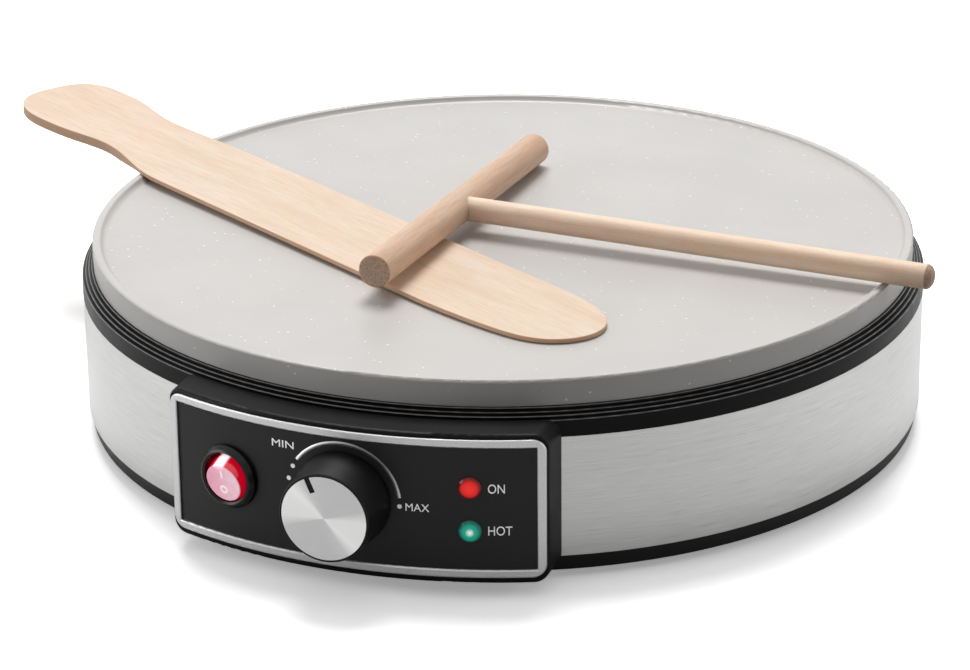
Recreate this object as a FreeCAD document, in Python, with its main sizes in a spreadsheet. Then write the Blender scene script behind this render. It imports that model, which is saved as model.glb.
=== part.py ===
import FreeCAD, Part
import Sketcher
import math
import os

from FreeCAD import Placement, Rotation, Vector

# Electric crepe maker with its spatula and batter spreader.
# Millimetres. The origin is on the bench below the middle of the hotplate, +Z is up,
# and the control panel faces -Y.

DRIVING_SIZES = {
    # Feet and tray
    "foot_gap": 3.0,
    "foot_radius": 11.0,
    "foot_seat": 1.5,
    "foot_circle": 118.0,
    "tray_radius": 154.0,
    "tray_draft": 1.3,
    "tray_height": 6.1,
    "tray_floor": 2.5,
    "tray_wall": 2.3,
    "spigot_height": 4.9,
    "vent_length": 30.0,
    "vent_width": 3.6,
    "vent_circle": 62.0,
    # Steel band and top ring
    "band_radius": 154.1,
    "band_thick": 0.6,
    "band_height": 43.5,
    "band_gap": 64.1,
    "ring_radius": 154.2,
    "ring_height": 6.2,
    "ring_step": 1.15,
    "ring_skirt": 4.0,
    "ring_ledge_radius": 141.0,
    # Hotplate
    "plate_radius": 150.0,
    "plate_top": 71.5,
    "plate_skirt": 9.1,
    "plate_wall": 3.5,
    "plate_thick": 4.5,
    "lip_width": 2.8,
    "lip_height": 2.0,
    # What carries and heats the plate
    "post_circle": 122.0,
    "post_radius": 4.5,
    "boss_radius": 6.5,
    "boss_drop": 8.0,
    "screw_radius": 2.0,
    "screw_head_radius": 4.0,
    "screw_head_height": 2.4,
    "heater_circle": 96.0,
    "heater_radius": 3.3,
    "heater_sink": 0.9,
    "heater_gap": 15.0,
    "heater_bend": 10.0,
    "heater_leg": 12.0,
    "reflector_radius": 138.0,
    "reflector_flat": 118.0,
    "reflector_level": 50.0,
    "reflector_rise": 6.0,
    "reflector_thick": 0.6,
    # Control housing, frame and panel
    "housing_radius": 166.6,
    "housing_half": 67.6,
    "housing_bottom": 5.4,
    "housing_top": 59.2,
    "housing_corner": 5.0,
    "housing_round": 1.2,
    "housing_wall": 2.5,
    "neck_half": 62.6,
    "neck_bottom": 15.2,
    "neck_top": 47.4,
    "neck_back": 138.0,
    "frame_radius": 167.2,
    "frame_half": 67.0,
    "frame_bottom": 7.7,
    "frame_top": 57.6,
    "frame_bar": 2.9,
    "frame_corner": 4.5,
    "frame_round": 0.5,
    "panel_radius": 166.3,
    "panel_seat": 165.2,
    # Controls, by their place on the panel
    "control_height": 32.85,
    "switch_angle": -14.9,
    "lamp_angle": 14.95,
    "lamp_height": 32.45,
    "lamp_spread": 7.85,
    "lamp_radius": 3.9,
    "lamp_rise": 1.7,
    "switch_flange": 11.5,
    "switch_body": 9.9,
    "switch_opening": 8.75,
    "switch_rise": 2.9,
    "rocker_radius": 8.05,
    "rocker_face": 6.8,
    "rocker_height": 7.4,
    "rocker_tilt": 12.0,
    "rocker_pivot": 3.5,
    "knob_base": 17.0,
    "knob_face": 15.8,
    "knob_height": 16.9,
    "knob_gap": 0.8,
    "cap_radius": 14.9,
    "cap_thick": 1.0,
    "pointer_angle": 112.7,
    "pointer_length": 5.3,
    "pointer_width": 1.8,
    "spindle_radius": 3.0,
    "spindle_flat": 2.3,
    "spindle_fit": 0.05,
    # Cord gland in the back of the band
    "gland_height": 25.0,
    "gland_bore": 3.9,
    "gland_neck": 6.0,
    "gland_flange": 8.5,
    # Wooden tools
    "spatula_thick": 3.7,
    "blade_thick": 1.6,
    "blade_half": 22.1,
    "blade_start": 120.0,
    "blade_end": 298.0,
    "spatula_length": 336.0,
    "bar_length": 153.3,
    "bar_radius": 6.0,
    "handle_length": 180.6,
    "handle_radius": 4.5,
}

doc = FreeCAD.newDocument("CrepeMaker")
parts = {}


class Size:
    """A length or angle that keeps the sheet formula it came from."""

    def __init__(self, value, formula):
        self.value = value
        self.formula = formula

    def __float__(self):
        return float(self.value)

    def __add__(self, other):
        return Size(float(self) + float(other), f"({self.formula} + {formula_of(other)})")

    def __sub__(self, other):
        return Size(float(self) - float(other), f"({self.formula} - {formula_of(other)})")

    def __mul__(self, other):
        return Size(float(self) * float(other), f"({self.formula} * {formula_of(other)})")

    def __truediv__(self, other):
        return Size(float(self) / float(other), f"({self.formula} / {formula_of(other)})")

    def __radd__(self, other):
        return Size(float(other) + float(self), f"({formula_of(other)} + {self.formula})")

    def __rsub__(self, other):
        return Size(float(other) - float(self), f"({formula_of(other)} - {self.formula})")

    def __neg__(self):
        return Size(-float(self), f"(0 - {self.formula})")

    __rmul__ = __mul__


def formula_of(size):
    return size.formula if isinstance(size, Size) else repr(float(size))


def sine(angle):
    return Size(math.sin(math.radians(float(angle))), f"sin({formula_of(angle)})")


def cosine(angle):
    return Size(math.cos(math.radians(float(angle))), f"cos({formula_of(angle)})")


class SizeSheet:
    """The driving sizes, held in a spreadsheet and read back by name."""

    def __init__(self, sizes):
        self.cells = doc.addObject("Spreadsheet::Sheet", "Sizes")
        for row, (name, value) in enumerate(sizes.items(), start=1):
            self.cells.set(f"A{row}", name)
            self.cells.set(f"B{row}", str(value))
            self.cells.setAlias(f"B{row}", name)
        doc.recompute()

    def __getattr__(self, name):
        return Size(self.cells.get(name), f"Sizes.{name}")


S = SizeSheet(DRIVING_SIZES)

# Levels and radii that several pieces share
tray_bottom = S.foot_gap
tray_top = tray_bottom + S.tray_height
tray_inside = tray_bottom + S.tray_floor
band_top = tray_top + S.band_height
band_inner = S.band_radius - S.band_thick
spigot_radius = band_inner - 0.15
ring_wall_top = band_top + S.ring_height
cook_level = S.plate_top - S.lip_height
plate_under = cook_level - S.plate_thick
skirt_bottom = S.plate_top - S.plate_skirt
boss_bottom = plate_under - S.boss_drop
post_foot = tray_inside + 3.5
heater_level = plate_under - S.heater_radius + S.heater_sink
POST_COUNT = 4
POST_START = 45.0


def bind(item, prop, size):
    """Sets a property, and ties it to the sheet when the size comes from there."""
    setattr(item, prop, float(size))
    if isinstance(size, Size):
        item.setExpression(prop, size.formula)


def place(item, x=0.0, y=0.0, z=0.0, turn=None):
    item.Placement = Placement(Vector(float(x), float(y), float(z)), turn or Rotation())
    for axis, size in (("x", x), ("y", y), ("z", z)):
        if isinstance(size, Size):
            item.setExpression(f"Placement.Base.{axis}", size.formula)
    return item


def keep(name, item):
    """Gives a finished piece its name, which is also its file's name."""
    item.Label = name
    parts[name] = item
    return item


def new_body(name):
    body = doc.addObject("PartDesign::Body", name + "_body")
    body.AllowCompound = True
    return body


def new_sketch(body, plane, offset=0.0, turn=None):
    """A sketch on an origin plane. On XZ_Plane an offset goes towards -Y."""
    sketch = body.newObject("Sketcher::SketchObject", "Sketch")
    origin_plane = next(f for f in body.Origin.OriginFeatures if f.Role == plane)
    sketch.AttachmentSupport = (origin_plane, [""])
    sketch.MapMode = "FlatFace"
    sketch.AttachmentOffset = Placement(Vector(0, 0, float(offset)), turn or Rotation())
    if isinstance(offset, Size):
        sketch.setExpression("AttachmentOffset.Base.z", offset.formula)
    return sketch


def fix_distance(sketch, kind, shape, point, size):
    """Holds one coordinate of a point, or puts the point on the axis when it is zero."""
    if not isinstance(size, Size) and float(size) == 0.0:
        axis = -2 if kind == "DistanceX" else -1
        sketch.addConstraint(Sketcher.Constraint("PointOnObject", shape, point, axis))
        return
    rule = Sketcher.Constraint(kind, -1, 1, shape, point, float(size))
    index = sketch.addConstraint(rule)
    if isinstance(size, Size):
        sketch.setExpression(f"Constraints[{index}]", size.formula)


def draw_polygon(sketch, points):
    first = sketch.GeometryCount
    count = len(points)
    corners = [Vector(float(x), float(y), 0) for x, y in points]
    for i in range(count):
        sketch.addGeometry(Part.LineSegment(corners[i], corners[(i + 1) % count]), False)
    for i in range(count):
        following = first + (i + 1) % count
        sketch.addConstraint(Sketcher.Constraint("Coincident", first + i, 2, following, 1))
    for i, (x, y) in enumerate(points):
        fix_distance(sketch, "DistanceX", first + i, 1, x)
        fix_distance(sketch, "DistanceY", first + i, 1, y)
    return sketch


def draw_circle(sketch, x, y, radius):
    centre = Vector(float(x), float(y), 0)
    shape = sketch.addGeometry(Part.Circle(centre, Vector(0, 0, 1), float(radius)), False)
    index = sketch.addConstraint(Sketcher.Constraint("Radius", shape, float(radius)))
    if isinstance(radius, Size):
        sketch.setExpression(f"Constraints[{index}]", radius.formula)
    fix_distance(sketch, "DistanceX", shape, 3, x)
    fix_distance(sketch, "DistanceY", shape, 3, y)
    return sketch


def rectangle(x1, y1, x2, y2):
    return [(x1, y1), (x2, y1), (x2, y2), (x1, y2)]


def extrude(body, kind, sketch, length, reverse=False, both=False):
    """A Pad or a Pocket. A pocket's way is away from the sketch's face unless reversed."""
    feature = body.newObject(f"PartDesign::{kind}", kind)
    feature.Profile = sketch
    bind(feature, "Length", length)
    feature.Midplane = both
    feature.Reversed = reverse
    body.Tip = feature
    return feature


def revolve(body, kind, sketch, axis="V_Axis"):
    """A Revolution or a Groove, all the way round."""
    feature = body.newObject(f"PartDesign::{kind}", kind)
    feature.Profile = sketch
    feature.ReferenceAxis = (sketch, [axis])
    feature.Angle = 360.0
    body.Tip = feature
    return feature


def turned(name, points):
    """A body turned about Z from a half section in (radius, height)."""
    body = new_body(name)
    sketch = draw_polygon(new_sketch(body, "XZ_Plane"), points)
    revolve(body, "Revolution", sketch)
    return body


def round_edges(body, radius, test, kind="Fillet"):
    """Rounds or bevels every edge of the tip for which the test holds."""
    doc.recompute()
    base = body.Tip
    names = [f"Edge{i}" for i, edge in enumerate(base.Shape.Edges, start=1) if test(edge)]
    feature = body.newObject(f"PartDesign::{kind}", kind)
    feature.Base = (base, names)
    bind(feature, "Radius" if kind == "Fillet" else "Size", radius)
    body.Tip = feature
    return feature


def repeat_round(body, features, count, start_angle=0.0):
    """Repeats features evenly about Z."""
    pattern = body.newObject("PartDesign::PolarPattern", "PolarPattern")
    pattern.Originals = features
    z_axis = next(f for f in body.Origin.OriginFeatures if f.Role == "Z_Axis")
    pattern.Axis = (z_axis, [""])
    pattern.Angle = 360.0
    pattern.Occurrences = count
    body.Tip = pattern
    return pattern


def is_ring(radius, height, slack=0.06):
    """A test for the round edges of that radius and height about Z."""
    def test(edge):
        curve = edge.Curve
        if not isinstance(curve, Part.Circle):
            return False
        return (abs(curve.Radius - float(radius)) < slack
                and abs(curve.Center.z - float(height)) < slack
                and math.hypot(curve.Center.x, curve.Center.y) < slack)
    return test


def runs_along(direction):
    """A test for straight edges along a direction."""
    def test(edge):
        if not isinstance(edge.Curve, Part.Line):
            return False
        return abs(edge.Curve.Direction.dot(direction)) > 0.999
    return test


def part_box(x, y, z, length, width, height):
    item = doc.addObject("Part::Box", "Box")
    bind(item, "Length", length)
    bind(item, "Width", width)
    bind(item, "Height", height)
    return place(item, x, y, z)


def part_cylinder(radius, height, x=0.0, y=0.0, z=0.0, turn=None):
    item = doc.addObject("Part::Cylinder", "Cylinder")
    bind(item, "Radius", radius)
    bind(item, "Height", height)
    return place(item, x, y, z, turn)


def combine(kind, base, tool):
    """Part::Cut, Part::Common or Part::Fuse of two objects."""
    item = doc.addObject(f"Part::{kind}", kind)
    item.Base = base
    item.Tool = tool
    return item


def rounded_block(half, bottom, top, corner):
    """A block through the panel along Y, with its four long edges rounded."""
    depth = 80.0
    block = part_box(-half, -(S.neck_back - 40.0) - depth, bottom, half * 2, depth, top - bottom)
    doc.recompute()
    item = doc.addObject("Part::Fillet", "Fillet")
    item.Base = block
    along = runs_along(Vector(0, 1, 0))
    numbers = [i for i, e in enumerate(block.Shape.Edges, start=1) if along(e)]
    item.Edges = [(i, float(corner), float(corner)) for i in numbers]
    return item


def round_front(item, face_radius, radius):
    """Rounds every edge of an object that lies on a cylinder about the plate's axis."""
    doc.recompute()

    def on_face(edge):
        ends = [edge.valueAt(edge.FirstParameter), edge.valueAt(edge.LastParameter)]
        middle = edge.valueAt((edge.FirstParameter + edge.LastParameter) / 2)
        return all(abs(math.hypot(p.x, p.y) - float(face_radius)) < 0.01 for p in ends + [middle])

    rounded = doc.addObject("Part::Fillet", "Fillet")
    rounded.Base = item
    numbers = [i for i, e in enumerate(item.Shape.Edges, start=1) if on_face(e)]
    rounded.Edges = [(i, float(radius), float(radius)) for i in numbers]
    return rounded


def bent_tube(points, radius, bend):
    """A tube along straight runs joined by tangent arcs."""
    route = [Vector(*[float(c) for c in point]) for point in points]
    edges = []
    start = route[0]
    for before, corner, after in zip(route, route[1:], route[2:]):
        way_in = (corner - before).normalize()
        way_out = (after - corner).normalize()
        turn = way_in.getAngle(way_out)
        reach = float(bend) * math.tan(turn / 2)
        arc_start = corner - way_in * reach
        arc_end = corner + way_out * reach
        inward = (way_out - way_in).normalize()
        depth = float(bend) * (1 / math.cos(turn / 2) - 1)
        edges.append(Part.LineSegment(start, arc_start).toShape())
        edges.append(Part.Arc(arc_start, corner + inward * depth, arc_end).toShape())
        start = arc_end
    edges.append(Part.LineSegment(start, route[-1]).toShape())
    return sweep_tube(Part.Wire(edges), radius)


def sweep_tube(path, radius):
    first = path.Edges[0]
    heading = first.tangentAt(first.FirstParameter)
    section = Part.Wire([Part.Circle(first.valueAt(first.FirstParameter), heading,
                                     float(radius)).toShape()])
    return path.makePipeShell([section], True, False)


def keep_shape(name, shape):
    """A piece whose shape none of the document's own features makes well."""
    item = doc.addObject("Part::Feature", name)
    item.Shape = shape
    item.Placement = Placement()
    return keep(name, item)


def on_panel(angle, height, radius=None):
    """The place of a control: local Z points out of the panel, and local Y points up."""
    out = radius if radius is not None else S.panel_radius
    turn = Rotation(Vector(0, 0, 1), float(angle)) * Rotation(Vector(1, 0, 0), 90)
    return out * sine(angle), -(out * cosine(angle)), height, turn


def panel_hole(angle, height, radius):
    """A cutter for a round hole through the panel and the housing's front wall."""
    x, y, z, turn = on_panel(angle, height, S.neck_back)
    return part_cylinder(radius, 50.0, x, y, z, turn)


# Feet, tray and the parts that stand on it


def make_tray():
    """A moulded tray: sloped outer wall, a spigot inside the band, bosses and vents."""
    outer_low = S.tray_radius - S.tray_draft
    body = turned("base_tray", [
        (0.0, tray_bottom),
        (outer_low, tray_bottom),
        (S.tray_radius, tray_top),
        (spigot_radius, tray_top),
        (spigot_radius, tray_top + S.spigot_height),
        (spigot_radius - S.tray_wall, tray_top + S.spigot_height),
        (spigot_radius - S.tray_wall - 0.8, tray_inside),
        (0.0, tray_inside),
    ])
    round_edges(body, 1.2, is_ring(outer_low, tray_bottom))
    add_tray_bosses(body)
    cut_vents(body)
    cut_foot_seats(body)
    return keep("base_tray", body)


def add_tray_bosses(body):
    """Hollow bosses under the four posts, with room below for the screws' heads."""
    x = S.post_circle * cosine(POST_START)
    sketch = draw_circle(new_sketch(body, "XY_Plane", tray_inside - 0.5), x, x, 8.0)
    boss = extrude(body, "Pad", sketch, post_foot - tray_inside + 0.5)
    sketch = draw_circle(new_sketch(body, "XY_Plane", tray_bottom), x, x,
                         S.screw_head_radius + 0.4)
    sink = extrude(body, "Pocket", sketch, S.screw_head_height + 1.0, reverse=True)
    sketch = draw_circle(new_sketch(body, "XY_Plane", tray_bottom), x, x, S.screw_radius + 0.2)
    hole = extrude(body, "Pocket", sketch, 12.0, reverse=True)
    repeat_round(body, [boss, sink, hole], POST_COUNT)
    housing_boss = new_sketch(body, "XY_Plane", tray_inside - 0.5)
    holes = new_sketch(body, "XY_Plane", tray_bottom)
    sinks = new_sketch(body, "XY_Plane", tray_bottom)
    for x in HOUSING_SCREW_X:
        draw_circle(housing_boss, x, -HOUSING_SCREW_Y, 4.4)
        draw_circle(holes, x, -HOUSING_SCREW_Y, HOUSING_SCREW_RADIUS + 0.15)
        draw_circle(sinks, x, -HOUSING_SCREW_Y, HOUSING_HEAD_RADIUS + 0.25)
    extrude(body, "Pad", housing_boss, S.neck_bottom - tray_inside + 0.4)
    extrude(body, "Pocket", holes, 20.0, reverse=True)
    extrude(body, "Pocket", sinks, 4.0, reverse=True)


HOUSING_SCREW_X = (-23.0, 23.0)
HOUSING_SCREW_Y = 142.6
HOUSING_SCREW_RADIUS = 1.6
HOUSING_HEAD_RADIUS = 3.0
VENT_COUNT = 24


def cut_vents(body):
    """Radial air slots in a ring round the middle of the floor."""
    start = S.vent_circle
    half = S.vent_width / 2
    sketch = draw_polygon(new_sketch(body, "XY_Plane", tray_bottom - 1.0),
                          rectangle(start, -half, start + S.vent_length, half))
    slot = extrude(body, "Pocket", sketch, S.tray_floor + 2.0, reverse=True)
    repeat_round(body, [slot], VENT_COUNT)


def cut_foot_seats(body):
    """Shallow round seats for the four feet."""
    sketch = draw_circle(new_sketch(body, "XY_Plane", tray_bottom), S.foot_circle, 0.0,
                         S.foot_radius + 0.1)
    seat = extrude(body, "Pocket", sketch, S.foot_seat, reverse=True)
    repeat_round(body, [seat], POST_COUNT)


def make_feet():
    """Soft feet, a little narrower where they meet the bench."""
    body = new_body("rubber_feet")
    top = tray_bottom + S.foot_seat
    centre = S.foot_circle
    sketch = draw_circle(new_sketch(body, "XY_Plane"), centre, 0.0, S.foot_radius)
    pad = extrude(body, "Pad", sketch, top)
    round_edges(body, 0.8, lambda e: isinstance(e.Curve, Part.Circle)
                and e.BoundBox.ZMax < 0.1)
    repeat_round(body, [pad, body.Tip], POST_COUNT)
    return keep("rubber_feet", body)


def make_posts():
    """Steel spacers with a shoulder for the reflector."""
    body = new_body("plate_posts")
    x = S.post_circle * cosine(POST_START)
    shoulder = S.reflector_level - S.reflector_thick
    low = draw_circle(new_sketch(body, "XY_Plane", post_foot), x, x, S.post_radius)
    wide = extrude(body, "Pad", low, shoulder - post_foot)
    slim = draw_circle(new_sketch(body, "XY_Plane", shoulder), x, x, S.post_radius - 1.3)
    neck = extrude(body, "Pad", slim, boss_bottom - shoulder)
    bore = draw_circle(new_sketch(body, "XY_Plane", post_foot), x, x, S.screw_radius + 0.2)
    hole = extrude(body, "Pocket", bore, 60.0, reverse=True)
    repeat_round(body, [wide, neck, hole], POST_COUNT)
    return keep("plate_posts", body)


def make_plate_screws():
    """Long pan-head screws, up through the tray and posts into the plate's bosses."""
    body = new_body("plate_screws")
    x = S.post_circle * cosine(POST_START)
    seat = tray_bottom + S.screw_head_height + 1.0
    head_sketch = draw_circle(new_sketch(body, "XY_Plane", seat - S.screw_head_height), x, x,
                              S.screw_head_radius)
    head = extrude(body, "Pad", head_sketch, S.screw_head_height)
    shank_sketch = draw_circle(new_sketch(body, "XY_Plane", seat), x, x, S.screw_radius)
    shank = extrude(body, "Pad", shank_sketch, plate_under - 2.5 - seat)
    slot = new_sketch(body, "XY_Plane", seat - S.screw_head_height)
    draw_polygon(slot, rectangle(x - 2.6, x - 0.5, x + 2.6, x + 0.5))
    cross = new_sketch(body, "XY_Plane", seat - S.screw_head_height)
    draw_polygon(cross, rectangle(x - 0.5, x - 2.6, x + 0.5, x + 2.6))
    first = extrude(body, "Pocket", slot, 1.2, reverse=True)
    second = extrude(body, "Pocket", cross, 1.2, reverse=True)
    repeat_round(body, [head, shank, first, second], POST_COUNT)
    return keep("plate_screws", body)


def make_housing_screws():
    """Two screws up through the tray into the control housing."""
    body = new_body("housing_screws")
    seat = tray_bottom + 4.0
    heads = new_sketch(body, "XY_Plane", seat - 2.0)
    shanks = new_sketch(body, "XY_Plane", seat)
    for x in HOUSING_SCREW_X:
        draw_circle(heads, x, -HOUSING_SCREW_Y, HOUSING_HEAD_RADIUS)
        draw_circle(shanks, x, -HOUSING_SCREW_Y, HOUSING_SCREW_RADIUS)
    extrude(body, "Pad", heads, 2.0)
    extrude(body, "Pad", shanks, 16.0)
    return keep("housing_screws", body)


# Steel band, top ring and cord gland


def make_band():
    """One rolled strip, open where the control housing goes through it."""
    body = turned("steel_band", rectangle(band_inner, tray_top, S.band_radius, band_top))
    gap = draw_polygon(new_sketch(body, "XZ_Plane"),
                       rectangle(-S.band_gap, 0.0, S.band_gap, band_top + 5.0))
    extrude(body, "Pocket", gap, 200.0, reverse=True)
    hole = draw_circle(new_sketch(body, "XZ_Plane"), 0.0, S.gland_height, S.gland_neck + 0.1)
    extrude(body, "Pocket", hole, 200.0)
    return keep("steel_band", body)


def make_ring():
    """The black ring: a wall over the band, fine steps inboard, a ledge and a skirt."""
    steps = []
    soft_edges = [is_ring(S.ring_radius, ring_wall_top)]
    for i in range(3):
        inset = S.ring_radius - S.ring_step * (i + 1)
        steps.append((inset, ring_wall_top + S.ring_step * i))
        steps.append((inset, ring_wall_top + S.ring_step * (i + 1)))
        soft_edges.append(is_ring(inset, ring_wall_top + S.ring_step * (i + 1)))
    crest = ring_wall_top + S.ring_step * 3
    inner_wall = S.ring_radius - S.ring_step * 3 - 0.75
    ledge_top = ring_wall_top - 1.2
    body = turned("top_ring", [
        (S.ring_radius, band_top),
        (S.ring_radius, ring_wall_top),
        *steps,
        (inner_wall, crest),
        (inner_wall - 0.5, ledge_top),
        (S.ring_ledge_radius, ledge_top),
        (S.ring_ledge_radius, ledge_top - 2.0),
        (spigot_radius - S.tray_wall, ledge_top - 2.0),
        (spigot_radius - S.tray_wall, band_top - S.ring_skirt),
        (spigot_radius, band_top - S.ring_skirt),
        (spigot_radius, band_top),
    ])
    round_edges(body, 0.3, lambda edge: any(test(edge) for test in soft_edges))
    return keep("top_ring", body)


def make_gland():
    """A bushing that snaps into the back of the band, with the lead's bore through it."""
    body = turned("cord_gland", [
        (S.gland_bore, 0.0),
        (S.gland_neck - 0.2, 0.0),
        (S.gland_neck + 0.9, 4.0),
        (S.gland_neck + 0.9, 6.4),
        (S.gland_neck, 6.4),
        (S.gland_neck, 7.2),
        (S.gland_flange, 7.2),
        (S.gland_flange - 0.8, 9.6),
        (S.gland_bore, 9.6),
    ])
    turn = Rotation(Vector(1, 0, 0), -90)
    place(body, 0.0, S.band_radius - 7.2, S.gland_height, turn)
    return keep("cord_gland", body)


# Hotplate, heater and reflector


def make_hotplate():
    """The cast plate: a soft lip round the cooking face, a skirt, bosses and a groove."""
    lip_inner = S.plate_radius - S.lip_width
    skirt_inner = S.plate_radius - S.plate_wall
    body = turned("hotplate", [
        (0.0, cook_level),
        (lip_inner - 1.4, cook_level),
        (lip_inner, S.plate_top),
        (S.plate_radius, S.plate_top),
        (S.plate_radius - 0.1, skirt_bottom),
        (skirt_inner, skirt_bottom),
        (skirt_inner - 0.6, plate_under),
        (0.0, plate_under),
    ])
    round_edges(body, 0.9, is_ring(S.plate_radius, S.plate_top))
    round_edges(body, 0.9, is_ring(lip_inner, S.plate_top))
    round_edges(body, 2.2, is_ring(lip_inner - 1.4, cook_level))
    groove = draw_circle(new_sketch(body, "XZ_Plane"), S.heater_circle, heater_level,
                         S.heater_radius + 0.05)
    revolve(body, "Groove", groove)
    x = S.post_circle * cosine(POST_START)
    boss_sketch = draw_circle(new_sketch(body, "XY_Plane", boss_bottom), x, x, S.boss_radius)
    boss = extrude(body, "Pad", boss_sketch, S.boss_drop + 0.5)
    hole_sketch = draw_circle(new_sketch(body, "XY_Plane", boss_bottom), x, x,
                              S.screw_radius + 0.05)
    hole = extrude(body, "Pocket", hole_sketch, S.boss_drop - 1.5, reverse=True)
    repeat_round(body, [boss, hole], POST_COUNT)
    earth = draw_circle(new_sketch(body, "XY_Plane", boss_bottom), 0.0, EARTH_Y, 5.0)
    extrude(body, "Pad", earth, S.boss_drop + 0.5)
    earth_hole = draw_circle(new_sketch(body, "XY_Plane", boss_bottom), 0.0, EARTH_Y,
                             S.screw_radius + 0.05)
    extrude(body, "Pocket", earth_hole, S.boss_drop - 1.5, reverse=True)
    return keep("hotplate", body)


EARTH_Y = 112.0


def make_heater():
    """A sheathed tube bent into an open loop, with both ends turned down."""
    radius = float(S.heater_circle)
    level = float(heater_level)
    bend = float(S.heater_bend)
    gap = math.radians(float(S.heater_gap))
    ends = []
    for side in (1, -1):
        angle = math.pi / 2 + side * gap
        on_ring = Vector(radius * math.cos(angle), radius * math.sin(angle), level)
        away = Vector(math.sin(angle), -math.cos(angle), 0) * side
        centre = on_ring - Vector(0, 0, bend)
        half = math.sqrt(0.5)
        middle = centre + (away + Vector(0, 0, 1)) * (bend * half)
        below = centre + away * bend
        foot = below - Vector(0, 0, float(S.heater_leg))
        ends.append((on_ring, middle, below, foot))
    first, last = ends
    far_side = Vector(0, -radius, level)
    edges = [
        Part.LineSegment(first[3], first[2]).toShape(),
        Part.Arc(first[2], first[1], first[0]).toShape(),
        Part.Arc(first[0], far_side, last[0]).toShape(),
        Part.Arc(last[0], last[1], last[2]).toShape(),
        Part.LineSegment(last[2], last[3]).toShape(),
    ]
    return keep_shape("heating_element", sweep_tube(Part.Wire(edges), S.heater_radius))


def make_clamps():
    """Hat-shaped straps that hold the heater up in its groove."""
    body = new_body("element_clamps")
    inner = S.heater_circle - S.heater_radius - 0.4
    outer = S.heater_circle + S.heater_radius + 0.4
    under = heater_level - S.heater_radius - 0.05
    top = plate_under - 0.05
    section = draw_polygon(new_sketch(body, "XZ_Plane"), [
        (inner - 9.0, top), (inner - 9.0, top - 1.0), (inner - 1.0, top - 1.0),
        (inner - 1.0, under - 1.0), (outer + 1.0, under - 1.0), (outer + 1.0, top - 1.0),
        (outer + 9.0, top - 1.0), (outer + 9.0, top), (outer, top), (outer, under),
        (inner, under), (inner, top),
    ])
    strap = extrude(body, "Pad", section, 10.0, both=True)
    repeat_round(body, [strap], 3)
    return keep("element_clamps", body)


def make_reflector():
    """A shallow pressed dish that sits on the posts' shoulders."""
    level = S.reflector_level
    thick = S.reflector_thick
    body = turned("heat_reflector", [
        (0.0, level),
        (S.reflector_flat, level),
        (S.reflector_radius, level + S.reflector_rise),
        (S.reflector_radius, level + S.reflector_rise - thick),
        (S.reflector_flat, level - thick),
        (0.0, level - thick),
    ])
    holes = new_sketch(body, "XY_Plane", level - 2.0)
    x = S.post_circle * cosine(POST_START)
    draw_circle(holes, x, x, S.post_radius - 1.0)
    hole = extrude(body, "Pocket", holes, 12.0, reverse=True)
    repeat_round(body, [hole], POST_COUNT)
    passages = new_sketch(body, "XY_Plane", level - 2.0)
    leg_x = S.heater_circle * sine(S.heater_gap) - S.heater_bend * cosine(S.heater_gap)
    leg_y = S.heater_circle * cosine(S.heater_gap) + S.heater_bend * sine(S.heater_gap)
    for side in (1, -1):
        draw_circle(passages, leg_x * side, leg_y, S.heater_radius + 1.7)
    draw_circle(passages, CAPILLARY_X, -CAPILLARY_DROP_Y, 3.0)
    extrude(body, "Pocket", passages, 12.0, reverse=True)
    return keep("heat_reflector", body)


CAPILLARY_X = 9.0
CAPILLARY_DROP_Y = 112.0
BULB_START_Y = 25.0
BULB_LENGTH = 56.0
BULB_RADIUS = 2.6


def make_bulb():
    """The feeler, a closed copper tube against the underside of the plate."""
    level = plate_under - BULB_RADIUS - 0.05
    turn = Rotation(Vector(1, 0, 0), 90)
    bulb = part_cylinder(BULB_RADIUS, BULB_LENGTH, CAPILLARY_X, -BULB_START_Y, level, turn)
    return keep("sensor_bulb", bulb)


def make_capillary():
    """The fine tube: it dips under the heater, then drops through the reflector."""
    level = float(plate_under) - BULB_RADIUS - 0.05
    dip = float(heater_level) - float(S.heater_radius) - 4.0
    bulb_end = -BULB_START_Y - BULB_LENGTH
    points = [
        (CAPILLARY_X, bulb_end, level),
        (CAPILLARY_X, bulb_end - 4.5, level),
        (CAPILLARY_X, bulb_end - 9.0, dip),
        (CAPILLARY_X, -CAPILLARY_DROP_Y, dip),
        (CAPILLARY_X, -CAPILLARY_DROP_Y, 44.0),
        (CAPILLARY_X, 0.75 - THERMOSTAT_BACK, 44.0 - (THERMOSTAT_BACK - CAPILLARY_DROP_Y)),
    ]
    return keep_shape("capillary_tube", bent_tube(points, 0.9, 2.2))


def make_cutout():
    """A one-shot thermal cut-out with its two tabs, clipped to the plate."""
    level = plate_under - 7.05
    can = part_cylinder(8.0, 7.0, -40.0, -36.0, level)
    tabs = part_box(-54.0, -39.0, level + 1.0, 28.0, 6.0, 0.8)
    return keep("thermal_cutout", combine("Fuse", can, tabs))


def make_earth_screw():
    """A pan-head screw with a captive washer, up into the plate's earth boss."""
    body = turned("earth_screw", [
        (0.0, 0.0), (3.6, 0.0), (4.0, 2.0), (5.0, 2.0), (5.0, 3.0),
        (S.screw_radius, 3.0), (S.screw_radius, 8.5), (0.0, 8.5),
    ])
    place(body, 0.0, EARTH_Y, boss_bottom - 3.05)
    return keep("earth_screw", body)


# Control housing and what it carries


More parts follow.
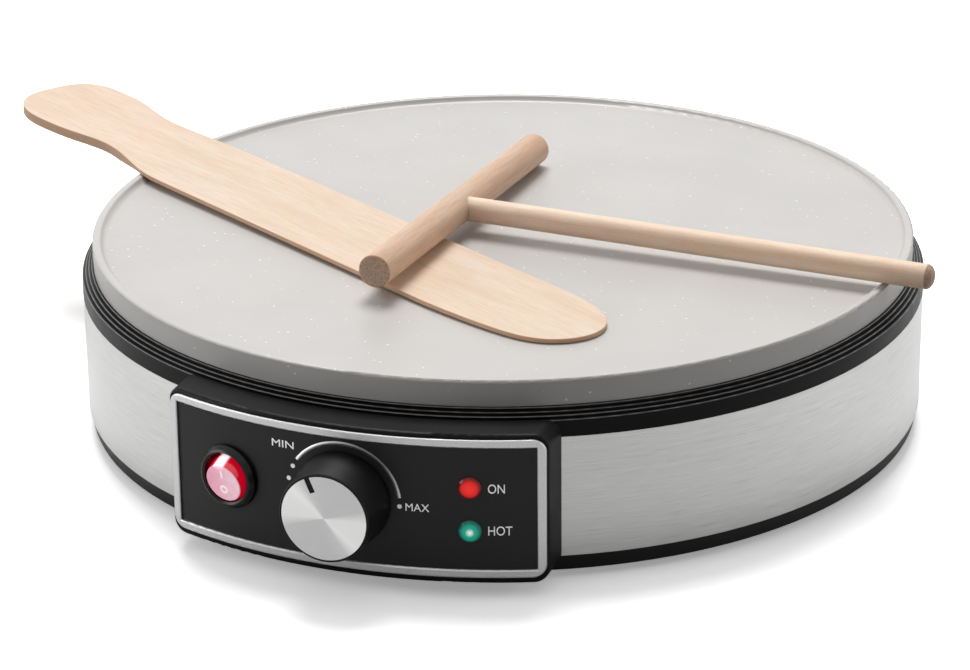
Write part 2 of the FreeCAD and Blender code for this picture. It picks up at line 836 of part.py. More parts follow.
def make_housing():
    """The moulded housing: a curved box on a neck that goes into the body.

    Front and back follow cylinders about the plate's axis, the long edges are rounded, and
    the front has a seat for the frame and the panel.
    """
    wall = S.housing_wall
    block = rounded_block(S.housing_half, S.housing_bottom, S.housing_top, S.housing_corner)
    outside = combine("Common", block, part_cylinder(S.housing_radius, 80.0))
    outside = round_front(outside, S.housing_radius, S.housing_round)
    shell = combine("Cut", outside, part_cylinder(S.band_radius + 0.35, 80.0))
    neck = part_box(-S.neck_half, -(S.band_radius + 4.0), S.neck_bottom,
                    S.neck_half * 2, S.band_radius + 4.0 - S.neck_back,
                    S.neck_top - S.neck_bottom)
    joined = combine("Fuse", shell, neck)
    front_room = combine("Common", rounded_block(S.housing_half - wall, S.housing_bottom + wall,
                                                 S.housing_top - wall, S.housing_corner - wall),
                         part_cylinder(S.panel_seat - wall, 80.0))
    front_room = combine("Cut", front_room, part_cylinder(S.band_radius + wall + 0.35, 80.0))
    neck_room = part_box(-(S.neck_half - wall), -(S.band_radius + 6.0), S.neck_bottom + wall,
                         (S.neck_half - wall) * 2, S.band_radius + 10.0 - S.neck_back,
                         S.neck_top - S.neck_bottom - wall * 2)
    hollow = combine("Cut", combine("Cut", joined, front_room), neck_room)
    seat = combine("Cut", rounded_block(S.frame_half + 0.1, S.frame_bottom - 0.1,
                                        S.frame_top + 0.1, S.frame_corner + 0.1),
                   part_cylinder(S.panel_seat - 0.05, 80.0))
    body = combine("Cut", hollow, seat)
    for cutter in panel_cutters():
        body = combine("Cut", body, cutter)
    for x in HOUSING_SCREW_X:
        boss = part_cylinder(3.6, 10.0, x, -HOUSING_SCREW_Y, S.neck_bottom + 1.0)
        body = combine("Fuse", body, boss)
        hole = part_cylinder(HOUSING_SCREW_RADIUS + 0.05, 9.5, x, -HOUSING_SCREW_Y,
                             S.neck_bottom - 0.5)
        body = combine("Cut", body, hole)
    return keep("control_housing", body)


def panel_cutters():
    """The round holes for the switch, the spindle and the two lamps."""
    return [
        panel_hole(S.switch_angle, S.control_height, S.switch_body + 0.15),
        panel_hole(0.0, S.control_height, S.spindle_radius + 1.0),
        panel_hole(S.lamp_angle, S.lamp_height + S.lamp_spread, LAMP_NECK + 0.15),
        panel_hole(S.lamp_angle, S.lamp_height - S.lamp_spread, LAMP_NECK + 0.15),
    ]


LAMP_NECK = 3.2


def make_frame():
    """The silver frame: rounded outside, sharp inside, curved with the housing."""
    bar = S.frame_bar
    outer = rounded_block(S.frame_half, S.frame_bottom, S.frame_top, S.frame_corner)
    inner = part_box(-(S.frame_half - bar), -200.0, S.frame_bottom + bar,
                     (S.frame_half - bar) * 2, 120.0, S.frame_top - S.frame_bottom - bar * 2)
    face = combine("Common", combine("Cut", outer, inner), part_cylinder(S.frame_radius, 80.0))
    face = round_front(face, S.frame_radius, S.frame_round)
    return keep("trim_frame", combine("Cut", face, part_cylinder(S.panel_seat, 80.0)))


def make_panel():
    """The fascia inside the frame, with its round holes."""
    inset = S.frame_bar + 0.05
    block = part_box(-(S.frame_half - inset), -200.0, S.frame_bottom + inset,
                     (S.frame_half - inset) * 2, 120.0, S.frame_top - S.frame_bottom - inset * 2)
    sheet = combine("Common", block, part_cylinder(S.panel_radius, 80.0))
    body = combine("Cut", sheet, part_cylinder(S.panel_seat, 80.0))
    for cutter in panel_cutters():
        body = combine("Cut", body, cutter)
    return keep("control_panel", body)


def make_switch_case():
    """The round switch: a flange ring on the panel and a can behind it."""
    body = turned("switch_case", [
        (0.0, -19.0), (S.switch_body, -19.0), (S.switch_body, 0.0), (S.switch_flange, 0.0),
        (S.switch_flange - 0.2, 1.2), (S.switch_flange - 1.3, S.switch_rise - 0.3),
        (S.switch_opening + 0.7, S.switch_rise), (S.switch_opening, S.switch_rise - 0.5),
        (S.switch_opening, -8.2), (0.0, -8.2),
    ])
    pins = draw_circle(new_sketch(body, "YZ_Plane"), 0.0, -S.rocker_pivot, 0.85)
    extrude(body, "Pocket", pins, 19.0, both=True)
    place(body, *on_panel(S.switch_angle, S.control_height))
    return keep("switch_case", body)


def make_rocker():
    """The rocker: a round button whose flank narrows to a flat face, and two pins.

    It is drawn square to its pivot, and stands tilted with its foot pressed in.
    """
    shoulder = S.rocker_height - 4.0
    body = turned("rocker", [
        (0.0, -2.3), (S.rocker_radius, -2.3), (S.rocker_radius, shoulder),
        (S.rocker_face + 0.4, S.rocker_height - 0.9), (S.rocker_face, S.rocker_height),
        (0.0, S.rocker_height),
    ])
    round_edges(body, 0.4, is_ring(S.rocker_face, S.rocker_height))
    pins = draw_circle(new_sketch(body, "YZ_Plane"), 0.0, 0.0, 0.8)
    extrude(body, "Pad", pins, 18.8, both=True)
    x, y, z, turn = on_panel(S.switch_angle, S.control_height, S.panel_radius - S.rocker_pivot)
    place(body, x, y, z, turn * Rotation(Vector(1, 0, 0), float(S.rocker_tilt)))
    return keep("rocker", body)


def make_switch_tabs():
    """Three spade tabs out of the back of the switch."""
    body = new_body("switch_tabs")
    sketch = new_sketch(body, "XY_Plane", -27.0)
    for height in (-6.0, 0.0, 6.0):
        draw_polygon(sketch, rectangle(-3.1, height - 0.4, 3.1, height + 0.4))
    extrude(body, "Pad", sketch, 8.0)
    place(body, *on_panel(S.switch_angle, S.control_height))
    return keep("switch_tabs", body)


def make_lamp(name, height):
    """A domed lens whose neck goes through the panel."""
    body = turned(name, [
        (0.0, -4.0), (LAMP_NECK, -4.0), (LAMP_NECK, 0.0), (S.lamp_radius, 0.0),
        (S.lamp_radius, 0.5), (S.lamp_radius * 0.86, S.lamp_rise * 0.62),
        (S.lamp_radius * 0.5, S.lamp_rise * 0.92), (0.0, S.lamp_rise),
    ])
    place(body, *on_panel(S.lamp_angle, height))
    return keep(name, body)


def make_lamp_bodies():
    """Two neon holders behind the lenses."""
    holders = []
    for height in (S.lamp_height + S.lamp_spread, S.lamp_height - S.lamp_spread):
        x, y, z, turn = on_panel(S.lamp_angle, height, S.panel_radius - 18.0)
        holders.append(part_cylinder(LAMP_NECK, 14.0, x, y, z, turn))
    group = doc.addObject("Part::Compound", "Compound")
    group.Links = holders
    return keep("lamp_bodies", group)


def make_knob():
    """A hollow tapered knob: a boss with a flatted bore, and a rib for the pointer."""
    seat = S.knob_height - S.cap_thick
    web = seat - 2.5
    body = turned("knob", [
        (S.knob_base, S.knob_gap),
        (S.knob_face, S.knob_height - 0.4),
        (S.knob_face - 0.3, S.knob_height),
        (S.cap_radius + 0.05, S.knob_height),
        (S.cap_radius + 0.05, seat),
        (0.0, seat),
        (0.0, 12.0),
        (S.spindle_radius + 0.02, 12.0),
        (S.spindle_radius + 0.02, 2.0),
        (5.4, 2.0),
        (5.4, web),
        (S.knob_face - 2.0, web),
        (S.knob_base - 2.0, S.knob_gap),
    ])
    flat = draw_polygon(new_sketch(body, "XY_Plane", 2.0),
                        rectangle(-2.6, S.spindle_flat + 0.02, 2.6, 4.0))
    extrude(body, "Pad", flat, 10.0)
    rib_start = S.cap_radius - S.pointer_length
    half = S.pointer_width / 2
    rib = draw_polygon(new_sketch(body, "XY_Plane", seat - 0.1),
                       rectangle(-half, rib_start, half, S.cap_radius + 0.3))
    extrude(body, "Pad", rib, S.cap_thick + 0.1)
    x, y, z, turn = on_panel(0.0, S.control_height)
    place(body, x, y, z, turn * Rotation(Vector(0, 0, 1), float(S.pointer_angle) - 90))
    return keep("knob", body)


def make_cap():
    """A thin aluminium disc with a notch for the pointer."""
    body = new_body("knob_cap")
    seat = S.knob_height - S.cap_thick
    disc = draw_circle(new_sketch(body, "XY_Plane", seat + 0.02), 0.0, 0.0, S.cap_radius)
    extrude(body, "Pad", disc, S.cap_thick)
    half = S.pointer_width / 2 + 0.05
    rib_start = S.cap_radius - S.pointer_length - 0.05
    notch = draw_polygon(new_sketch(body, "XY_Plane", seat),
                         rectangle(-half, rib_start, half, S.cap_radius + 2.0))
    extrude(body, "Pocket", notch, 3.0, reverse=True)
    x, y, z, turn = on_panel(0.0, S.control_height)
    place(body, x, y, z, turn * Rotation(Vector(0, 0, 1), float(S.pointer_angle) - 90))
    return keep("knob_cap", body)


THERMOSTAT_FRONT = 144.4
THERMOSTAT_BACK = 120.0
BRACKET_THICK = 1.5
BUSH_END = 153.0
SPINDLE_END_Y = 136.5


def make_thermostat():
    """The thermostat: a case, a threaded bush and a blind bore for the spindle."""
    z = S.control_height
    back = Rotation(Vector(1, 0, 0), 90)
    case = part_box(-16.0, -THERMOSTAT_FRONT, z - 15.0, 32.0,
                    THERMOSTAT_FRONT - THERMOSTAT_BACK, 27.0)
    bush = part_cylinder(4.9, BUSH_END - THERMOSTAT_FRONT + 1.0, 0.0, 1.0 - THERMOSTAT_FRONT, z, back)
    bore = part_cylinder(S.spindle_radius + S.spindle_fit, 30.0, 0.0, 0.3 - SPINDLE_END_Y, z, back)
    return keep("thermostat", combine("Cut", combine("Fuse", case, bush), bore))


def make_spindle():
    """The thermostat's spindle, flatted at its front end."""
    body = new_body("thermostat_shaft")
    length = S.panel_radius + 11.8 - SPINDLE_END_Y
    rod = draw_circle(new_sketch(body, "XY_Plane"), 0.0, 0.0, S.spindle_radius)
    extrude(body, "Pad", rod, length)
    flat = draw_polygon(new_sketch(body, "XY_Plane", length - 10.5),
                        rectangle(-4.0, S.spindle_flat, 4.0, 5.0))
    extrude(body, "Pocket", flat, 20.0, reverse=True)
    turn = Rotation(Vector(1, 0, 0), 90) * Rotation(Vector(0, 0, 1), float(S.pointer_angle) - 90)
    place(body, 0.0, -SPINDLE_END_Y, S.control_height, turn)
    return keep("thermostat_shaft", body)


def make_bracket():
    """A folded bracket: an upright plate with the bush's hole, and a foot on the neck's floor."""
    body = new_body("thermostat_bracket")
    floor = S.neck_bottom + S.housing_wall + 0.05
    top = S.control_height + 10.0
    plate = draw_polygon(new_sketch(body, "XZ_Plane", THERMOSTAT_FRONT + 0.05),
                         rectangle(-17.0, floor, 17.0, top))
    extrude(body, "Pad", plate, BRACKET_THICK)
    foot = draw_polygon(new_sketch(body, "XY_Plane", floor),
                        rectangle(-17.0, -THERMOSTAT_FRONT - 10.0, 17.0, -THERMOSTAT_FRONT - 1.0))
    extrude(body, "Pad", foot, BRACKET_THICK)
    hole = draw_circle(new_sketch(body, "XZ_Plane", THERMOSTAT_FRONT - 2.0), 0.0, S.control_height,
                       5.0)
    extrude(body, "Pocket", hole, 6.0, reverse=True)
    return keep("thermostat_bracket", body)


def make_nut():
    """A thin hexagon nut on the bush."""
    body = new_body("thermostat_nut")
    start = THERMOSTAT_FRONT + BRACKET_THICK + 0.1
    across = 14.0
    corner = across / math.sqrt(3)
    hexagon = [(corner * math.cos(math.radians(a)), S.control_height + corner * math.sin(math.radians(a)))
               for a in range(30, 390, 60)]
    sketch = draw_polygon(new_sketch(body, "XZ_Plane", start), hexagon)
    extrude(body, "Pad", sketch, 3.0)
    hole = draw_circle(new_sketch(body, "XZ_Plane", start), 0.0, S.control_height, 4.95)
    extrude(body, "Pocket", hole, 5.0, reverse=True)
    return keep("thermostat_nut", body)


BLOCK_Y = 96.0
BLOCK_HEIGHT = 15.0


def make_terminal_block():
    """A three-way terminal block with its screw wells."""
    body = new_body("terminal_block")
    base = draw_polygon(new_sketch(body, "XY_Plane", tray_inside + 0.05),
                        rectangle(-17.0, BLOCK_Y - 9.0, 17.0, BLOCK_Y + 9.0))
    extrude(body, "Pad", base, BLOCK_HEIGHT)
    round_edges(body, 1.5, runs_along(Vector(0, 0, 1)))
    wells = new_sketch(body, "XY_Plane", tray_inside + BLOCK_HEIGHT + 1.0)
    for x in (-11.0, 0.0, 11.0):
        for y in (BLOCK_Y - 4.5, BLOCK_Y + 4.5):
            draw_circle(wells, x, y, 2.0)
    extrude(body, "Pocket", wells, 7.0)
    return keep("terminal_block", body)


def make_leads():
    """Four insulated leads between the block, the heater, the switch and the thermostat."""
    floor = float(tray_inside)
    block_level = floor + 8.0
    angle = math.radians(float(S.switch_angle))
    out = float(S.panel_radius) - 27.1
    tab = Vector(out * math.sin(angle), -out * math.cos(angle), float(S.control_height) - 6.0)
    inward = Vector(-math.sin(angle), math.cos(angle), 0)
    tab_clear = tab + inward * 10.0
    gap = math.radians(float(S.heater_gap))
    leg_x = float(S.heater_circle) * math.sin(gap) - float(S.heater_bend) * math.cos(gap)
    leg_y = float(S.heater_circle) * math.cos(gap) + float(S.heater_bend) * math.sin(gap)
    leg_end = float(heater_level) - float(S.heater_bend) - float(S.heater_leg) - 0.1
    routes = [
        [(-11.0, BLOCK_Y - 9.1, block_level), (-11.0, BLOCK_Y - 24.0, block_level),
         (-30.0, 30.0, block_level), (-34.0, -60.0, block_level),
         (-34.0, -104.0, float(tab.z)), tuple(tab_clear), tuple(tab)],
        [(leg_x, leg_y, leg_end), (leg_x, leg_y, leg_end - 10.0), (leg_x + 2.0, 60.0, 24.0),
         (16.0, -40.0, 24.0), (10.0, -104.0, 27.0), (10.0, -THERMOSTAT_BACK + 0.1, 27.0)],
        [(tab.x, tab.y, tab.z + 12.0), tuple(tab_clear + Vector(0, 0, 12.0)),
         (-24.0, -108.0, 38.0), (-10.0, -106.0, 32.0), (-10.0, -THERMOSTAT_BACK + 0.1, 32.0)],
        [(-leg_x, leg_y, leg_end), (-leg_x, leg_y, leg_end - 8.0),
         (-leg_x, leg_y - 20.0, block_level + 2.0), (0.0, BLOCK_Y - 24.0, block_level),
         (0.0, BLOCK_Y - 9.1, block_level)],
    ]
    tubes = [bent_tube(route, 1.3, 5.0) for route in routes]
    return keep_shape("inner_leads", Part.makeCompound(tubes))


# Wooden tools, as they lie on the plate


# The spatula's outline in (length, side), round its grip and round half of its tip
GRIP_OUTLINE = [
    (88.0, 21.3), (73.0, 20.7), (56.0, 21.6), (45.0, 23.9), (33.0, 26.0), (20.0, 26.2),
    (9.0, 25.0), (2.0, 20.5), (-0.8, 14.0), (-1.4, 5.0), (-0.6, -2.5), (4.0, -9.5),
    (13.0, -14.6), (31.0, -16.6), (48.0, -15.5), (67.0, -13.5), (80.0, -15.2), (92.0, -18.4),
    (104.0, -21.2),
]
BLADE_END_SKEW = 30.0
TIP_NEAR_SIDE = [(289.0, -21.3), (308.2, -19.3), (321.0, -16.5), (329.6, -11.6), (334.6, -4.4)]
TIP_FAR_SIDE = [(333.6, 11.0), (328.2, 16.4), (320.0, 20.0), (310.0, 21.7)]
SHOULDER_ANGLE = 19.2
SHOULDER_END = 85.5
SHOULDER_LENGTH = 15.0


def add_spline(sketch, points, start_way, end_way):
    curve = Part.BSplineCurve()
    curve.interpolate([Vector(x, y, 0) for x, y in points], InitialTangent=start_way,
                      FinalTangent=end_way)
    sketch.addGeometry(curve, False)


def make_spatula():
    """A flat beech spatula: a waisted grip, and a thinner straight blade with a skewed tip.

    The blade is thinned from below, and its shoulder runs beside the hotplate's lip.
    """
    body = new_body("spatula")
    half = float(S.blade_half)
    start = float(S.blade_start)
    ahead = Vector(1, 0, 0)
    sketch = new_sketch(body, "XY_Plane")
    add_spline(sketch, [(start, half)] + GRIP_OUTLINE + [(start, -half)], -ahead, ahead)
    far_end = float(S.blade_end)
    near_end = far_end - BLADE_END_SKEW
    nose = (float(S.spatula_length), 3.5)
    tip = [(near_end, -half)] + TIP_NEAR_SIDE + [nose] + TIP_FAR_SIDE + [(far_end, half)]
    add_spline(sketch, tip, ahead, -ahead)
    for side, end in ((half, far_end), (-half, near_end)):
        sketch.addGeometry(Part.LineSegment(Vector(start, side, 0), Vector(end, side, 0)), False)
    extrude(body, "Pad", sketch, S.spatula_thick, reverse=True)
    turned_plane = Rotation(Vector(0, 1, 0), SHOULDER_ANGLE)
    under = draw_polygon(new_sketch(body, "XZ_Plane", 0.0, turned_plane), [
        (SHOULDER_END, -S.blade_thick), (400.0, -S.blade_thick), (400.0, -9.0),
        (SHOULDER_END - SHOULDER_LENGTH, -9.0), (SHOULDER_END - SHOULDER_LENGTH, -S.spatula_thick),
    ])
    extrude(body, "Pocket", under, 400.0, both=True)
    round_edges(body, 0.3, lambda e: e.BoundBox.ZMin > -0.1)
    turn = Rotation(Vector(0, 0, 1), SPATULA_YAW) * Rotation(Vector(0, 1, 0), SPATULA_DIP)
    place(body, SPATULA_X, SPATULA_Y, SPATULA_Z, turn)
    return keep("spatula", body)


SPATULA_YAW = -31.3
SPATULA_DIP = 0.481
SPATULA_X = -224.8
SPATULA_Y = 78.8
SPATULA_Z = 74.25
BAR_START = (-19.0, -82.9, 80.6)
BAR_YAW = 86.94
BAR_DIP = 1.8
HANDLE_YAW = -3.77
HANDLE_DIP = 0.67


def make_spreader_bar():
    """The round cross bar, its ends softened, lying across the spatula."""
    body = new_body("spreader_bar")
    rod = draw_circle(new_sketch(body, "XY_Plane"), 0.0, 0.0, S.bar_radius)
    extrude(body, "Pad", rod, S.bar_length)
    round_edges(body, 0.6, lambda e: isinstance(e.Curve, Part.Circle))
    turn = (Rotation(Vector(0, 0, 1), BAR_YAW) * Rotation(Vector(0, 1, 0), BAR_DIP)
            * Rotation(Vector(0, 1, 0), 90))
    place(body, *BAR_START, turn)
    hole_at = bar_middle()
    return keep("spreader_bar", drilled_bar(body, hole_at))


def bar_middle():
    """The point on the bar's axis where the handle meets it."""
    turn = Rotation(Vector(0, 0, 1), BAR_YAW) * Rotation(Vector(0, 1, 0), BAR_DIP)
    return Vector(*BAR_START) + turn.multVec(Vector(float(S.bar_length) / 2, 0, 0))


def handle_turn():
    return (Rotation(Vector(0, 0, 1), HANDLE_YAW) * Rotation(Vector(0, 1, 0), HANDLE_DIP)
            * Rotation(Vector(0, 1, 0), 90))


def drilled_bar(bar, middle):
    """The blind hole in the bar's side that takes the end of the handle."""
    drill = part_cylinder(S.handle_radius + 0.03, 20.0, middle.x, middle.y, middle.z, handle_turn())
    return combine("Cut", bar, drill)


def make_spreader_handle():
    """The round handle, glued into the bar, its free end turned to a blunt point."""
    body = turned("spreader_handle", [
        (0.0, 0.05), (S.handle_radius, 0.05), (S.handle_radius, S.handle_length - 2.3),
        (S.handle_radius - 0.5, S.handle_length - 1.4),
        (S.handle_radius - 1.9, S.handle_length - 0.4), (0.0, S.handle_length),
    ])
    middle = bar_middle()
    place(body, middle.x, middle.y, middle.z, handle_turn())
    return keep("spreader_handle", body)


def check_document():
    """Stops with the names of whatever failed, before anything is written."""
    doc.recompute()
    failed = [o.Name for o in doc.Objects if {"Invalid", "Error"} & set(o.State)]
    for name, item in parts.items():
        if item.Shape.isNull() or not item.Shape.isValid() or not item.Shape.Solids:
            failed.append(name)
    if failed:
        raise RuntimeError("these failed: " + ", ".join(failed))


def write_parts():
    os.makedirs("parts", exist_ok=True)
    for name, item in parts.items():
        item.Shape.exportStep(os.path.join("parts", name + ".step"))
        print(f"{name}: {len(item.Shape.Solids)} solids, {item.Shape.Volume / 1000:.2f} cm3")


def build():
    make_tray()
    make_feet()
    make_posts()
    make_plate_screws()
    make_housing_screws()
    make_band()
    make_ring()
    make_gland()
    make_hotplate()
    make_heater()
    make_clamps()
    make_reflector()
    make_bulb()
    make_capillary()
    make_cutout()
    make_earth_screw()
    make_housing()
    make_frame()
    make_panel()
    make_switch_case()
    make_rocker()
    make_switch_tabs()
    make_lamp("power_lamp", S.lamp_height + S.lamp_spread)
    make_lamp("ready_lamp", S.lamp_height - S.lamp_spread)
    make_lamp_bodies()
    make_knob()
    make_cap()
    make_thermostat()
    make_spindle()
    make_bracket()
    make_nut()
    make_terminal_block()
    make_leads()
    make_spatula()
    make_spreader_bar()
    make_spreader_handle()
    check_document()
    write_parts()


build()
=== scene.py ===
# %% [markdown]
# # An electric crepe maker
#
# The solids of this crepe maker were made in a CAD program and packed as a fixed frame. This
# lesson dresses them: it gives every piece the finish of the real one, adds the print on the
# control panel, and sets up a floor, lamps and a camera. First the frame is loaded, and its
# size is kept. Its size is kept, because nothing that follows may make the object bigger.

# %% Load the frame
import math

import bmesh
import bpy
from mathutils import Matrix, Vector


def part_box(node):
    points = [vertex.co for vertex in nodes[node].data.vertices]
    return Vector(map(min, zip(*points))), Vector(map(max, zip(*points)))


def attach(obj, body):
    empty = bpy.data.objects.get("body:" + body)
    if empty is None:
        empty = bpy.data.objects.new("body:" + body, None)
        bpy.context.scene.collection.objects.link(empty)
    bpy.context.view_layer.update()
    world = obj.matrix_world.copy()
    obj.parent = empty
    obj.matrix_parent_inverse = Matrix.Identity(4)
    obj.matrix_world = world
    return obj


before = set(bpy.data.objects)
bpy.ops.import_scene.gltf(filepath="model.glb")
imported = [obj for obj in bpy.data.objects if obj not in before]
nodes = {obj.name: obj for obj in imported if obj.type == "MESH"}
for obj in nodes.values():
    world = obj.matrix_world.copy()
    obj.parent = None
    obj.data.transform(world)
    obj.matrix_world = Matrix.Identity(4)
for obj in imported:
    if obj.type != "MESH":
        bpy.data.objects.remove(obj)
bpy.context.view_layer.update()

# %% [markdown]
# ## The camera
#
# The viewpoint was worked out from the ellipses of the plate, the ring and the base. The
# camera stands 1.4 m away to the front right and looks down by 22 degrees through a long
# lens, so the object shows little perspective. Its rotation is built from three directions:
# where it looks, what is to its right and what is up, with a small roll.

# %% Place the camera
CAMERA_PLACE = Vector((0.414405, -1.208812, 0.546552))
CAMERA_AIM = Vector((-0.30511, 0.87468, -0.37661)).normalized()
CAMERA_ROLL = math.radians(-0.558)
LENS_MM = 137.775


def make_camera():
    level_right = CAMERA_AIM.cross(Vector((0, 0, 1))).normalized()
    level_up = level_right.cross(CAMERA_AIM)
    right = level_right * math.cos(CAMERA_ROLL) + level_up * math.sin(CAMERA_ROLL)
    up = level_up * math.cos(CAMERA_ROLL) - level_right * math.sin(CAMERA_ROLL)
    data = bpy.data.cameras.new("camera")
    data.lens = LENS_MM
    data.sensor_width = 36.0
    data.clip_start = 0.05
    data.clip_end = 50.0
    camera = bpy.data.objects.new("camera", data)
    turn = Matrix((right, up, -CAMERA_AIM)).transposed().to_4x4()
    camera.matrix_world = Matrix.Translation(CAMERA_PLACE) @ turn
    bpy.context.scene.collection.objects.link(camera)
    bpy.context.scene.camera = camera


make_camera()
print("camera distance:", round(CAMERA_PLACE.length, 3))

# %% [markdown]
# ## Tools for materials
#
# A material is a small network of nodes. One function adds a node, sets its values and links
# its inputs, so that each recipe below reads as a list. Colours are written as the hex
# values that a picture editor shows. Those are sRGB, and the renderer works with linear
# light, so one function turns them. Patterns are laid out in metres on the object's own
# coordinates: `per_mm` turns a feature's real size into a noise scale.

# %% Material helpers
def hex_colour(code):
    """Linear RGBA for an sRGB hex colour."""
    channels = [int(code[i:i + 2], 16) / 255 for i in (1, 3, 5)]
    linear = [c / 12.92 if c <= 0.04045 else ((c + 0.055) / 1.055) ** 2.4 for c in channels]
    return (*linear, 1.0)


def per_mm(size):
    """The noise scale at which one feature is about that many millimetres wide."""
    return 1000.0 / size


def add(tree, kind, inputs=None, **settings):
    """Adds a node. Inputs are values, or sockets of other nodes to link from."""
    node = tree.nodes.new(kind)
    for name, value in settings.items():
        setattr(node, name, value)
    for key, value in (inputs or {}).items():
        if isinstance(value, bpy.types.NodeSocket):
            tree.links.new(value, node.inputs[key])
        else:
            node.inputs[key].default_value = value
    return node


def new_material(name, **values):
    """A material with one Principled BSDF, whose plain values are given by name."""
    material = bpy.data.materials.new(name)
    material.use_nodes = True
    tree = material.node_tree
    tree.nodes.clear()
    surface = add(tree, "ShaderNodeBsdfPrincipled")
    for key, value in values.items():
        surface.inputs[key.replace("_", " ")].default_value = value
    output = add(tree, "ShaderNodeOutputMaterial")
    tree.links.new(surface.outputs["BSDF"], output.inputs["Surface"])
    return material, tree, surface


def place_of(tree, turn=(0, 0, 0), shift=(0, 0, 0)):
    """Object coordinates, shifted and turned for one piece."""
    place = add(tree, "ShaderNodeTexCoord").outputs["Object"]
    moved = add(tree, "ShaderNodeVectorMath", {0: place, 1: shift}, operation="SUBTRACT")
    turned = add(tree, "ShaderNodeVectorRotate",
                 {"Vector": moved.outputs[0], "Rotation": turn}, rotation_type="EULER_XYZ")
    return turned.outputs[0]


def noise(tree, vector, scale, detail=2.0, roughness=0.5):
    return add(tree, "ShaderNodeTexNoise", {"Vector": vector, "Scale": scale, "Detail": detail,
                                            "Roughness": roughness}).outputs["Fac"]


def spread(tree, value, low, high, new_low=0.0, new_high=1.0):
    return add(tree, "ShaderNodeMapRange", {"Value": value, "From Min": low, "From Max": high,
                                            "To Min": new_low, "To Max": new_high}).outputs[0]


def blend(tree, factor, first, second, how="MIX"):
    return add(tree, "ShaderNodeMix", {0: factor, 6: first, 7: second}, data_type="RGBA",
               blend_type=how).outputs[2]


def grey(tree, value):
    return add(tree, "ShaderNodeCombineColor", {0: value, 1: value, 2: value}).outputs[0]


def bump(tree, surface, height, distance_mm, strength=1.0):
    node = add(tree, "ShaderNodeBump", {"Height": height, "Strength": strength,
                                        "Distance": distance_mm / 1000})
    tree.links.new(node.outputs["Normal"], surface.inputs["Normal"])


def math_node(tree, operation, first, second=0.0):
    return add(tree, "ShaderNodeMath", {0: first, 1: second}, operation=operation).outputs[0]


def vector_node(tree, operation, first, second=(0, 0, 0)):
    """A vector sum: its result is a vector, or a value for a length or a dot product."""
    node = add(tree, "ShaderNodeVectorMath", {0: first, 1: second}, operation=operation)
    is_value = operation in ("LENGTH", "DOT_PRODUCT")
    return node.outputs["Value" if is_value else "Vector"]


def object_parts(tree, shift=(0, 0, 0)):
    """The X, Y and Z of the object coordinates, one socket each."""
    return add(tree, "ShaderNodeSeparateXYZ", {0: place_of(tree, shift=shift)}).outputs


def dress(material, *names):
    """Puts this material into the slots of these CAD nodes' objects."""
    for name in names:
        for slot in nodes[name].material_slots:
            slot.material = material
    print(material.name, "->", ", ".join(names))


print("noise scale of a 1 mm feature:", per_mm(1.0))

# %% [markdown]
# ## Moulded plastics
#
# The ring, the tray and the knob are moulded ABS with a fine spark-eroded grain, which the
# mould leaves on the surface. It makes the highlights soft and grey. The control housing is
# smoother and shows a clearer sheen. The recipe is the same for all of them: a dark colour
# that varies a little, a roughness that varies with it, and a fine bump. The real grain is
# about 0.1 mm wide, too fine for this picture, so it is drawn at 0.35 mm.

# %% Moulded ABS
def moulded(name, colour, roughness, grain_mm=0.35, grain_depth=0.02, shine=0.3):
    material, tree, surface = new_material(name, Specular_IOR_Level=shine)
    place = place_of(tree)
    clouds = noise(tree, place, per_mm(28.0), 3.0)
    lighter = [min(1.0, c * 1.35) for c in hex_colour(colour)[:3]] + [1.0]
    tree.links.new(blend(tree, spread(tree, clouds, 0.35, 0.65), hex_colour(colour), lighter),
                   surface.inputs["Base Color"])
    tree.links.new(spread(tree, clouds, 0.3, 0.7, roughness - 0.04, roughness + 0.05),
                   surface.inputs["Roughness"])
    bump(tree, surface, noise(tree, place, per_mm(grain_mm), 1.0), grain_depth)
    return material


dress(moulded("tray_abs", "#101010", 0.5), "base_tray")
dress(moulded("satin_abs", "#0c0c0c", 0.44, 0.5, 0.012, shine=0.12), "control_housing")
dress(moulded("knob_abs", "#0d0d0d", 0.42, 0.3, 0.015, shine=0.18), "knob")
dress(moulded("panel_lacquer", "#151515", 0.42, 0.4, 0.008), "control_panel")
dress(moulded("switch_nylon", "#101011", 0.25, 0.5, 0.01), "switch_case")
dress(moulded("moulded_rubber", "#19191a", 0.75, 0.6, 0.05), "rubber_feet", "cord_gland")
dress(moulded("polyamide_white", "#d4d3cc", 0.5, 0.4, 0.02), "terminal_block")
dress(moulded("lamp_holder_nylon", "#8c8b86", 0.5, 0.4, 0.02), "lamp_bodies")

# %% [markdown]
# ## The ring's bright edges
#
# Three fine steps run round the top of the ring, and the edge of each is rounded by 0.3 mm. On
# the real ring those roundings catch the light as thin lines. They are too small for this
# picture, so the same plastic is used with a painted highlight: a paler line drawn on each
# edge. A point is on an edge where its way in from the rim and its way up from the first step
# are equal.

# %% Ring with edges that catch the light
RING_RADIUS_MM, RING_STEP_MM, RING_STEPS = 154.2, 1.15, 3
HIGHLIGHT_LINE_FADE_MM = (0.2, 0.42)


